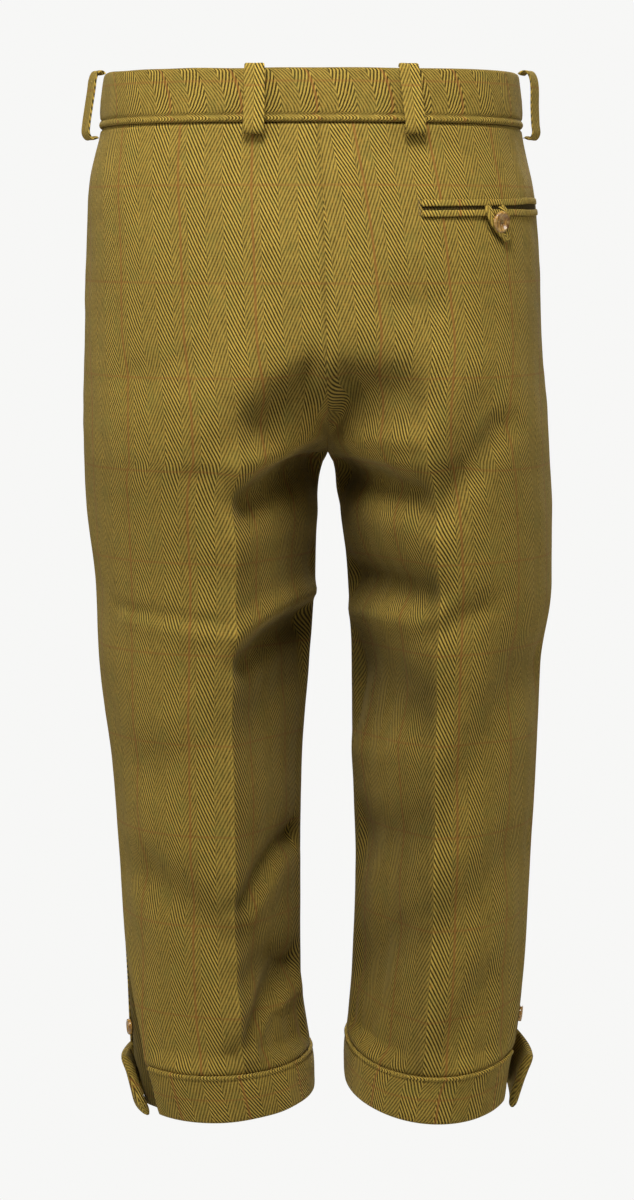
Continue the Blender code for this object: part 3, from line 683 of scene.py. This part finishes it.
# %% Belt loops
BeltLoop = namedtuple("BeltLoop", "name side angle high_stand low_stand")
BELT_LOOPS = (
    BeltLoop("belt_loop_back_left", "left", 75.5, 0.0050, 0.0062),
    BeltLoop("belt_loop_back_right", "right", 66.5, 0.0050, 0.0062),
    BeltLoop("belt_loop_side_left", "left", 2.0, 0.0070, 0.0085),
    BeltLoop("belt_loop_side_right", "right", 2.0, 0.0100, 0.0085),
    BeltLoop("belt_loop_front_left", "left", -62.0, 0.0050, 0.0060),
    BeltLoop("belt_loop_front_right", "right", -62.0, 0.0052, 0.0062),
)
LoopBend = namedtuple("LoopBend", "high low level")
LOOP_BENDS = (
    LoopBend(0.02, 0.00, 0.0006), LoopBend(0.30, 0.00, 0.0022), LoopBend(0.72, 0.00, 0.0014),
    LoopBend(0.96, 0.00, -0.0040), LoopBend(1.00, 0.00, -0.0120), LoopBend(0.45, 0.55, -0.0240),
    LoopBend(0.00, 1.00, -0.0370), LoopBend(0.00, 0.95, -0.0450), LoopBend(0.00, 0.55, -0.0492),
    LoopBend(0.00, 0.12, -0.0480),
)
LOOP_WIDTH, LOOP_WALL, BAND_PROUD = 0.0158, 0.0022, 0.0018


def curve_through(points, count):
    """A Catmull-Rom curve through the points, read at count places."""
    points = np.asarray(points, dtype=float)
    padded = np.concatenate((2 * points[:1] - points[1:2], points, 2 * points[-1:] - points[-2:-1]))
    at = np.linspace(0.0, len(points) - 1.0, count)
    index = np.minimum(at.astype(int), len(points) - 2)
    t = (at - index)[:, None]
    a, b, c, d = (padded[index + shift] for shift in range(4))
    return 0.5 * (2 * b + (c - a) * t + (2 * a - 5 * b + 4 * c - d) * t ** 2 + (3 * b - a - 3 * c + d) * t ** 3)


def flat_profile(width, wall, count=28, crown=0.0):
    """A flattened superellipse, |x/a|^5 + |y/b|^2.4 = 1, so that the long edges are soft folds."""
    turn = np.linspace(0.0, 2 * np.pi, count, endpoint=False)
    x = np.sign(np.cos(turn)) * np.abs(np.cos(turn)) ** 0.4 * width / 2
    y = np.sign(np.sin(turn)) * np.abs(np.sin(turn)) ** 0.8 * wall / 2
    return x, y + crown * (1 - (2 * x / width) ** 2)


def strip_along(path, sideways, width, wall, crown=0.0, thin=None):
    """The flat profile carried along the path: x goes sideways, y along the path's normal."""
    ahead = np.gradient(path, axis=0)
    ahead /= np.linalg.norm(ahead, axis=1, keepdims=True)
    normal = np.cross(sideways, ahead)
    normal /= np.linalg.norm(normal, axis=1, keepdims=True)
    x, y = flat_profile(width, wall, crown=crown)
    narrow = np.ones(len(path)) if thin is None else thin
    points = path[None] + x[:, None, None] * narrow[None, :, None] * sideways[None]
    points = points + y[:, None, None] * normal[None]
    flat = np.stack(np.broadcast_arrays(x[:, None], length_along(path)[None, :]), axis=-1)
    return points, flat


for loop in BELT_LOOPS:
    levels = np.array([bend.level for bend in LOOP_BENDS])
    stands = np.array([bend.high * loop.high_stand + bend.low * loop.low_stand for bend in LOOP_BENDS])
    middle = np.full(levels.shape, WAIST_SEAM / 2)
    lean = form(loop.side, levels, loop.angle) - form(loop.side, middle, loop.angle)
    path = moved_out(loop.side, middle, loop.angle, BAND_PROUD + LOOP_WALL / 2 + stands) + lean
    path = curve_through(path, 64)
    before, after = form(loop.side, WAIST_SEAM / 2, np.array((loop.angle - 1.0, loop.angle + 1.0)))
    sideways = (after - before) / np.linalg.norm(after - before) * (1.0 if loop.side == "left" else -1.0)
    twist = 0.42 * bell(loop.angle, 9.0) * (1.0 if loop.side == "left" else -1.0)
    sideways = sideways * np.cos(twist) + np.array((-sideways[1], sideways[0], 0.0)) * np.sin(twist)
    sideways = np.broadcast_to(sideways, path.shape)
    pinch = 1 - 0.08 * bell(np.linspace(0, 1, 64) - 0.12, 0.16)
    points, flat = strip_along(path, sideways, LOOP_WIDTH, LOOP_WALL, 0.0004, pinch)
    points = points + sideways * (0.0007 * np.sin(np.linspace(0, 5, 64) + loop.angle))[None, :, None]
    # Painted shade on the end of the loop that is folded under.
    folded_end_painted_shade = np.broadcast_to(-0.5 * ease(np.linspace(0, 1, 64), 0.80, 0.95), points.shape[:2])
    strip = make_roll(loop.name + "_cloth", points, flat, CLOTH["trim"], True, folded_end_painted_shade)
    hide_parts(loop.name)
    state_sheet(strip, (LOOP_WIDTH, float(length_along(path)[-1])), ["waistband_cloth"])

# %% [markdown]
# The knee band is a doubled strip like the waistband, from the back edge of the vent round the leg to
# its front edge. The strip behind the vent is single cloth in the shade, painted darker with a dark tweed.

# %% Knee bands and vents
KNEE_PROFILE = (
    Profile(-0.0006, -0.0001), Profile(0.0009, -0.0003), Profile(0.0017, -0.0012), Profile(0.0016, -0.0024),
    Profile(0.0005, -0.0034), Profile(0.0009, -0.0044), Profile(0.0012, -0.0100), Profile(0.0014, -0.0200),
    Profile(0.0013, -0.0340), Profile(0.0009, -0.0388), Profile(0.0000, -0.0399), Profile(-0.0011, -0.0399),
    Profile(-0.0019, -0.0388), Profile(-0.0020, -0.0200), Profile(-0.0019, -0.0010),
)
UNDERLAP_BOW, UNDERLAP_EDGE, UNDERLAP_TUCK, UNDERLAP_IN = 0.0035, 2.0, 13.0, 0.0041


def underlap_out(side, level, angle):
    """How far out the filling strip is: tucked in at its edges, bowed out in the opening."""
    opening = np.maximum(vent_angle(side, level) - 2 * UNDERLAP_EDGE, 1.0)
    part = np.clip((angle - UNDERLAP_EDGE) / opening, 0.0, 1.0)
    return UNDERLAP_BOW * ease(opening, 3.0, 12.0) * np.sin(np.pi * part) ** 2 - UNDERLAP_IN


for side in ("left", "right"):
    profile = spread(KNEE_PROFILE + KNEE_PROFILE[:1], 46)[:-1]
    angle = np.linspace(VENT_ANGLE[side] + 4.0, 357.0, 300)[None, :]
    wrapped = np.where(angle > 180.0, angle - 360.0, angle)
    level, out = KNEE_SEAM - SEAM + profile[:, 1:2], profile[:, 0:1]
    base = moved_out(side, level, wrapped, 0.0 * out)
    ripple = uneven(base, 21 + len(side), 0.040, 0.0012) * ease(-profile[:, 1:2], 0.003, 0.012)
    points = moved_out(side, level, wrapped, out + ripple)
    # Painted highlight on the top roll, painted shade in the stitched groove below it and along the bottom fold.
    shade = 0.4 * bell(profile[:, 1:2] + 0.0016, 0.0012) - 0.5 * bell(profile[:, 1:2] + 0.0036, 0.0006)
    shade = shade - 0.35 * ease(-profile[:, 1:2], 0.038, 0.0398)
    flat = band_flat(points, level, 0.004)
    flat[..., 0] *= -1.0 if side == "right" else 1.0
    flip = side == "right"
    band = make_roll("knee_band_cloth_" + side, points, flat, CLOTH["band"], flip,
                     np.broadcast_to(shade, points.shape[:2]))
    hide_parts("knee_band_" + side)
    state_sheet(band, (float(length_along(points, axis=1)[0, -1]), 0.042))
    level = np.linspace(VENT_TOP + 0.010, HEM + 0.002, 70)[:, None]
    edge = vent_angle(side, level)
    across = np.linspace(0.0, 1.0, 40)[None, :]
    angle = -UNDERLAP_TUCK + (np.maximum(edge, 2.0) + 2 * UNDERLAP_TUCK) * across
    out = underlap_out(side, level, angle)
    points = moved_out(side, level, angle, out + uneven(form(side, level, angle), 3, 0.03, 0.0006))
    flat = np.stack((length_along(points, axis=1), np.broadcast_to(-level, points.shape[:2])), axis=-1)
    # The darker copy of the tweed: painted shade behind the vent.
    lap = make_sheet("vent_cloth_" + side, points, flat, WALL, CLOTH["inner"], side == "right")
    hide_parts("vent_underlap_" + side)
    widths = flat[:, -1, 0]
    size = (float(widths.max()), float(length_along(points)[-1, 0]))
    state_sheet(lap, size, ["back_panel_" + side], float(widths.mean()) * size[1])

# %% [markdown]
# The tab is several layers thick, so its edge shows as a blunt fold. It runs from the front end of the
# band back over the vent, and its free end is cut on a slant and lifts away from the leg.

# %% Band tabs
BandTab = namedtuple("BandTab", "side start end_top end_bottom stand_top stand_bottom droop")
BAND_TABS = (
    BandTab("left", -48.0, 7.0, 31.0, 0.0020, 0.0012, 0.0025),
    BandTab("right", -48.0, 5.0, 11.0, 0.0085, 0.0010, 0.0120),
)
TAB_TOP, TAB_BOTTOM, TAB_WALL, TAB_OFF = -0.7610, -0.7990, 0.0036, 0.0031

for tab in BAND_TABS:
    turn = np.linspace(0.0, 2 * np.pi, 44, endpoint=False)
    down = 0.5 - 0.5 * np.sign(np.cos(turn)) * np.abs(np.cos(turn)) ** 0.35
    thick = np.sign(np.sin(turn)) * np.abs(np.sin(turn)) ** 0.6 * TAB_WALL / 2
    part = 1 - (1 - np.linspace(0.0, 1.0, 70)) ** 1.4
    down, thick, part = down[:, None], thick[:, None], part[None, :]
    angle = tab.start + (tab.end_top + (tab.end_bottom - tab.end_top) * down - tab.start) * part
    level = TAB_TOP + (TAB_BOTTOM - TAB_TOP) * down
    stand = (tab.stand_top + (tab.stand_bottom - tab.stand_top) * down) * ease(part, 0.35, 1.0)
    blunt = (1 + 1.1 * ease(part, 0.45, 0.85)) * (1 - 0.35 * ease(part, 0.975, 1.0))
    base = form(tab.side, level, angle)
    wobble = uneven(base, 31, 0.016, 0.0009) * ease(part, 0.5, 1.0)
    points = moved_out(tab.side, level, angle, TAB_OFF + thick * blunt + stand + wobble)
    points[..., 2] -= tab.droop * ease(part, 0.3, 1.0)
    flat = np.stack((length_along(points, axis=1), np.broadcast_to(-level, points.shape[:2])), axis=-1)
    # Painted shade along the tab's top and bottom edges, growing towards its free end.
    shade = np.broadcast_to(-0.25 * bell(thick, 0.0007) * ease(part, 0.2, 0.9), points.shape[:2])
    cloth = make_roll("band_tab_cloth_" + tab.side, points, flat, CLOTH["band"], tab.side == "right", shade)
    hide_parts("band_tab_" + tab.side)
    state_sheet(cloth, (float(flat[..., 0].max()), 0.040), ["knee_band_cloth_" + tab.side])

# %% [markdown]
# The back pocket is a slit with a narrow folded lip on each side. Between the lips the facing of
# the pocket shows, painted dark for the shade in the slit, and the slit gapes a little towards the side
# seam. A mitred loop hangs out of it, round the button.

# %% Pocket
POCKET_ANGLES = (12.0, 66.3)
POCKET_TOP, JET_HEIGHT, SLOT, JET_WALL = -0.0958, 0.0048, 0.0026, 0.0020
JETS_OUT, POCKET_TILT = 0.0006, 0.0024


def jet(name, node, level_at, lift):
    """A rounded lip along the slit; lift raises its edge where the slit gapes."""
    turn = np.linspace(0.0, 2 * np.pi, 26, endpoint=False)[:, None]
    along = np.linspace(0.0, 1.0, 120)[None, :]
    angle = POCKET_ANGLES[1] + (POCKET_ANGLES[0] - POCKET_ANGLES[1]) * along
    high = np.sign(np.cos(turn)) * np.abs(np.cos(turn)) ** 0.7 * JET_HEIGHT / 2
    deep = np.sign(np.sin(turn)) * np.abs(np.sin(turn)) ** 0.8 * JET_WALL / 2
    level = level_at + high + lift * bell(along - 0.84, 0.16) + POCKET_TILT * (along - 0.5)
    base = form("right", level, angle)
    points = moved_out("right", level, angle, JETS_OUT + JET_WALL / 2 + deep + uneven(base, 44, 0.02, 0.0006))
    flat = np.stack((length_along(points, axis=1), np.broadcast_to(-level, points.shape[:2])), axis=-1)
    # Painted shade along the lip's top and bottom edges.
    shade = np.broadcast_to(-0.7 * ease(np.abs(np.cos(turn)), 0.6, 1.0), points.shape[:2])
    lip = make_roll(name, points, flat, CLOTH["trim"], False, shade)
    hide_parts(node)
    long = float(flat[..., 0].max())
    state_sheet(lip, (0.010, long), ["back_panel_right"], 0.0068 * long)


upper_at = POCKET_TOP - JET_HEIGHT / 2
lower_at = upper_at - JET_HEIGHT - SLOT
jet("pocket_lip_upper", "pocket_jet_upper", upper_at, 0.0010)
jet("pocket_lip_lower", "pocket_jet_lower", lower_at, -0.0006)
slot_level = np.linspace(POCKET_TOP - 0.0030, POCKET_TOP - 2 * JET_HEIGHT - SLOT + 0.0028, 8)[:, None]
slot_angle = np.linspace(POCKET_ANGLES[1] - 0.3, POCKET_ANGLES[0] + 0.3, 100)[None, :]
slot_level = slot_level + POCKET_TILT * np.linspace(-0.5, 0.5, 100)[None, :]
points = moved_out("right", slot_level, slot_angle, 0.0009)
flat = np.stack((length_along(points, axis=1), np.broadcast_to(-slot_level, points.shape[:2])), axis=-1)
# The darker copy of the tweed and a strong darkening on top: painted shade inside the slit.
facing = make_sheet("pocket_facing", points, flat, 0.0006, CLOTH["inner"], False,
                    np.full(points.shape[:2], -1.6))
size = (float(flat[..., 0].max()), 0.010)
state_sheet(facing, size, ["back_panel_right"], size[0] * float(slot_level[0, 0] - slot_level[-1, 0]))

# %% [markdown]
# The loop is one narrow strip folded in two, with a mitred point. Its path is laid out flat, in
# millimetres along and below the slit, then wrapped on the form just outside the lips.

# %% Button loop
LoopPlace = namedtuple("LoopPlace", "along down out")
LOOP_PATH = (
    LoopPlace(-5.6, -1.0, 1.4), LoopPlace(-5.6, 4.0, 3.6), LoopPlace(-4.4, 9.5, 4.4), LoopPlace(-0.4, 15.0, 4.0),
    LoopPlace(6.6, 20.6, 3.2), LoopPlace(9.6, 21.8, 3.0), LoopPlace(11.2, 18.0, 3.4), LoopPlace(11.0, 11.0, 4.0),
    LoopPlace(9.4, 4.0, 3.6), LoopPlace(7.8, -1.0, 1.4),
)
LOOP_STRIP = 0.0064
LOOP_MIDDLE = 43.3
ring_step = np.linalg.norm(np.diff(form("right", -0.10, np.array((30.5, 31.5))), axis=0)[0])
places = curve_through([(row.along, row.down, row.out) for row in LOOP_PATH], 90) / 1000
angle = LOOP_MIDDLE - places[:, 0] / ring_step
level = POCKET_TOP - JET_HEIGHT - SLOT / 2 - places[:, 1]
path = moved_out("right", level, angle, places[:, 2])
normal = outward("right", level, angle)
ahead = np.gradient(path, axis=0)
sideways = np.cross(normal, ahead)
sideways /= np.linalg.norm(sideways, axis=1, keepdims=True)
points, flat = strip_along(path, sideways, LOOP_STRIP, 0.0019)
loop_cloth = make_roll("pocket_loop_cloth", points, flat, CLOTH["trim"], True)
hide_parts("pocket_tab")
state_sheet(loop_cloth, (0.010, float(length_along(path)[-1])), ["pocket_lip_lower"],
            0.0070 * float(length_along(path)[-1]))

# %% [markdown]
# A horn button is turned: a raised rim, a dished middle and four holes drilled close together. The
# height is a function of the radius, less a small dip at each hole, so one grid gives the whole face.

# %% Buttons
Button = namedtuple("Button", "name side level angle out radius tip")
BUTTONS = (
    Button("waist_button", "left", -0.020, -86.0, 0.0022, 0.0086, 0.0),
    Button("pocket_button", "right", -0.1126, 42.0, 0.0040, 0.0080, 14.0),
    Button("vent_button_left", "left", -0.738, 15.0, underlap_out("left", -0.738, 15.0) + 0.0004, 0.0062, 0.0),
    Button("vent_button_right", "right", -0.738, 10.0, underlap_out("right", -0.738, 10.0) + 0.0002, 0.0062, 0.0),
)
BUTTON_THICK = 0.0030
HOLE_AT, HOLE_RADIUS = 0.19, 0.10


def button_face(radius):
    """Grid of the button: r and turn, height from the rim's curve less four bells for the holes."""
    share = np.concatenate((np.linspace(0.0, 0.97, 34), (0.99, 1.0, 1.0, 0.985, 0.95, 0.7, 0.0)))[:, None]
    turn = np.linspace(0.0, 2 * np.pi, 72, endpoint=False)[None, :]
    face = np.interp(share[:34, 0], (0, 0.45, 0.62, 0.80, 0.92, 0.97), (0.60, 0.62, 0.78, 1.0, 0.97, 0.86))
    height = np.concatenate((face, (0.74, 0.60, 0.34, 0.16, 0.04, 0.0, 0.0)))[:, None] * BUTTON_THICK
    x, y = share * np.cos(turn) * radius, share * np.sin(turn) * radius
    holes = np.zeros((share.shape[0], 72))
    for corner in (45, 135, 225, 315):
        at = np.radians(corner)
        away = np.hypot(x / radius - HOLE_AT * np.cos(at), y / radius - HOLE_AT * np.sin(at))
        holes += bell(away, HOLE_RADIUS)
    front = (np.arange(share.shape[0]) < 34)[:, None]
    z = height - 0.0011 * np.clip(holes, 0, 1) * front
    return np.stack(np.broadcast_arrays(x, y, z), axis=-1)


def axes_at(side, level, angle, tip):
    """Two directions on the cloth and the one out of it, tipped downwards by so many degrees."""
    out = outward(side, np.array(level), np.array(angle))
    sideways = np.cross((0.0, 0.0, 1.0), out)
    sideways /= np.linalg.norm(sideways)
    up = np.cross(out, sideways)
    turn = np.radians(tip)
    return sideways, up * np.cos(turn) + out * np.sin(turn), out * np.cos(turn) - up * np.sin(turn)


def placed(points, button):
    """Points of a piece made flat at the origin, carried to where the button is sewn."""
    axes = np.stack(axes_at(button.side, button.level, button.angle, button.tip))
    return points @ axes + moved_out(button.side, np.array(button.level), np.array(button.angle), button.out)


for button in BUTTONS:
    grid = placed(button_face(button.radius), button)
    rows, columns = grid.shape[:2]
    index = np.arange(rows * columns).reshape(rows, columns)
    index = np.concatenate((index, index[:, :1]), axis=1)
    corners = np.stack((index[:-1, :-1], index[1:, :-1], index[1:, 1:], index[:-1, 1:]), axis=-1)
    piece = make_piece(button.name + "_horn", grid, corners.reshape(-1, 4).tolist(), None, HORN)
    weld = piece.modifiers.new("weld", "WELD")
    weld.merge_threshold = 0.00002
    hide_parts(button.name)

# %% [markdown]
# Stitches are hundreds of small grains, so each has only a few faces, and all of one kind are a single
# mesh made from arrays. They show where a tailor leaves them in sight: at the fly, the ends of the
# pocket, the belt loops' tacks and through the buttons.

# %% Stitches


def stitch_mesh(name, starts, ends, normals, radius):
    """One grain for each pair of points: a six-sided spindle, thickest in the middle."""
    share = np.array((0.0, 0.12, 0.5, 0.88, 1.0))
    thick = np.array((0.15, 0.75, 1.0, 0.75, 0.15)) * radius
    turn = np.linspace(0, 2 * np.pi, 6, endpoint=False)
    ahead = ends - starts
    side = np.cross(ahead, normals)
    side /= np.linalg.norm(side, axis=1, keepdims=True)
    middle = starts[:, None] + ahead[:, None] * share[None, :, None]
    ring = side[:, None] * np.cos(turn)[None, :, None] + normals[:, None] * np.sin(turn)[None, :, None]
    points = middle[:, :, None] + ring[:, None] * thick[None, :, None, None]
    count = len(starts)
    index = np.arange(count * 30).reshape(count, 5, 6)
    index = np.concatenate((index, index[:, :, :1]), axis=2)
    quads = np.stack((index[:, :-1, :-1], index[:, 1:, :-1], index[:, 1:, 1:], index[:, :-1, 1:]), axis=-1)
    caps = [row[0, :6].tolist() for row in index] + [row[4, 5::-1].tolist() for row in index]
    piece = make_piece(name, points.reshape(-1, 3), quads.reshape(-1, 4).tolist() + caps, None, THREAD)
    return piece


def stitches_on(side, levels, angles, out, spacing=0.0030, share=0.62):
    """Starts, ends and normals of a row of stitches along a line on the form."""
    fine_level = np.interp(np.linspace(0, 1, 400), np.linspace(0, 1, len(levels)), levels)
    fine_angle = np.interp(np.linspace(0, 1, 400), np.linspace(0, 1, len(angles)), angles)
    line = moved_out(side, fine_level, fine_angle, out)
    travelled = length_along(line)
    begin = np.arange(0.0, travelled[-1] - spacing, spacing)
    at = [np.stack([np.interp(b, travelled, line[:, k]) for k in range(3)], -1) for b in (begin, begin + spacing * share)]
    level = np.interp(begin, travelled, fine_level)
    return at[0], at[1], outward(side, level, np.interp(begin, travelled, fine_angle))


J_LEVELS = np.concatenate((np.linspace(-0.044, -0.150, 20), -0.150 - 0.034 * np.sin(np.linspace(0, np.pi / 2, 16))[1:]))
J_ANGLES = -np.concatenate((np.full(20, 74.0), 90.0 - 16.0 * np.cos(np.linspace(0, np.pi / 2, 16))[1:]))
rows = [stitches_on("left", J_LEVELS, J_ANGLES, 0.0004)]
for end in (POCKET_ANGLES[0] - 0.6, POCKET_ANGLES[1] + 0.6):
    levels = np.array((POCKET_TOP + 0.0005, POCKET_TOP - 2 * JET_HEIGHT - SLOT - 0.0005))
    rows += [stitches_on("right", levels, np.array((end + d, end + d)), 0.0003, 0.0011, 0.9) for d in (-0.2, 0.2)]
for loop in BELT_LOOPS:
    ends = np.array((loop.angle - 2.6, loop.angle + 2.6))
    rows.append(stitches_on(loop.side, np.array((-0.0478, -0.0478)), ends, 0.0008, 0.0016, 0.8))
stitched = [np.concatenate([row[k] for row in rows]) for k in range(3)]
stitch_mesh("stitches", *stitched, 0.00028)
print("stitches:", len(stitched[0]))
starts, ends, normals = [], [], []
for button in BUTTONS:
    reach = HOLE_AT * button.radius
    for lift, (dx, dy) in enumerate(((1, 1), (1, -1))):
        for spread_by in (-0.00022, 0.00022):
            bar = np.array(((-dx, -dy, 0.0), (dx, dy, 0.0))) * reach * 0.72
            bar[:, 0] += spread_by * dy
            bar[:, 1] -= spread_by * dx
            bar[:, 2] = BUTTON_THICK * 0.60 + 0.0001 + 0.0003 * lift
            bar = placed(bar, button)
            starts.append(bar[0])
            ends.append(bar[1])
            normals.append(axes_at(button.side, button.level, button.angle, button.tip)[2])
stitch_mesh("button_thread", np.array(starts), np.array(ends), np.array(normals), 0.00026)

# %% [markdown]
# Behind the centre front opening lies a strip of single cloth. It hardly shows, but light falls on it
# through the waist, so it is cloth like the rest, in the darker copy of the tweed that paints shade.

# %% Fly shield
level = np.linspace(-0.043, -0.195, 60)[:, None]
turn = np.linspace(-8.0, 6.0, 24)[None, :]
points = waist_ring(level, turn, -0.0031)
flat = np.stack((length_along(points, axis=1), np.broadcast_to(-level, points.shape[:2])), axis=-1)
# The darker copy of the tweed: painted shade behind the opening.
shield = make_sheet("fly_shield_cloth", points, flat, WALL, CLOTH["inner"], True)
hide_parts("fly_shield")
state_sheet(shield, (float(flat[..., 0].max()), 0.154), ["waistband_cloth"])

# %% [markdown]
# The set is a pale floor well below the hem, under a pale sky that the camera sees. One broad lamp
# stands high behind the camera, and weaker ones stand at the sides and in front, so that the folds
# keep their shape and no side of the breeches is black.

# %% Floor and light
FLOOR_LEVEL, FLOOR_SIZE = -1.25, 24.0
PAPER = (0.93, 0.93, 0.92, 1.0)
bpy.ops.mesh.primitive_plane_add(size=FLOOR_SIZE, location=(0.0, 0.0, FLOOR_LEVEL))
floor = bpy.context.active_object
floor.name = "floor"


def lit_paper(tree, shader_in, plain):
    """Mixes the plain surface with an even glow for what the camera sees, so that paper reads as white."""
    glow = tree.nodes.new("ShaderNodeEmission")
    glow.inputs["Color"].default_value = PAPER
    mixer, path = tree.nodes.new("ShaderNodeMixShader"), tree.nodes.new("ShaderNodeLightPath")
    tree.links.new(path.outputs["Is Camera Ray"], mixer.inputs[0])
    tree.links.new(plain, mixer.inputs[1])
    tree.links.new(glow.outputs[0], mixer.inputs[2])
    tree.links.new(mixer.outputs[0], shader_in)


paper = Finish("paper", roughness=0.9)
grain = paper.noise(paper.node("ShaderNodeTexCoord", {}, {}, 3), 30.0)
paper.feed("Base Color", paper.mix(grain * 0.3, (0.82, 0.82, 0.81, 1.0), (0.78, 0.78, 0.77, 1.0)))
output = paper.tree.nodes["Material Output"].inputs["Surface"]
lit_paper(paper.tree, output, paper.shader.outputs[0])
floor.data.materials.append(paper.material)
world = bpy.data.worlds.new("sky")
bpy.context.scene.world = world
world.use_nodes = True
background = world.node_tree.nodes["Background"]
background.inputs["Color"].default_value = (1.0, 0.99, 0.97, 1.0)
background.inputs["Strength"].default_value = 0.07
lit_paper(world.node_tree, world.node_tree.nodes["World Output"].inputs["Surface"], background.outputs[0])

Lamp = namedtuple("Lamp", "name place size power")
LAMPS = (
    Lamp("key", (-0.10, -1.00, 1.15), 0.6, 29.0),
    Lamp("side_left", (-1.8, -1.25, 0.55), 0.7, 16.0),
    Lamp("side_right", (1.9, -1.05, 0.60), 0.7, 12.0),
    Lamp("front", (0.4, 2.6, 1.0), 1.8, 55.0),
)
for lamp in LAMPS:
    data = bpy.data.lights.new(lamp.name, "AREA")
    data.size, data.energy = lamp.size, lamp.power
    light = bpy.data.objects.new(lamp.name, data)
    light.location = lamp.place
    light.rotation_mode = "QUATERNION"
    light.rotation_quaternion = (Vector((0.0, 0.0, -0.38)) - light.location).to_track_quat("-Z", "Y")
    bpy.context.scene.collection.objects.link(light)
print("lamps:", len(LAMPS))
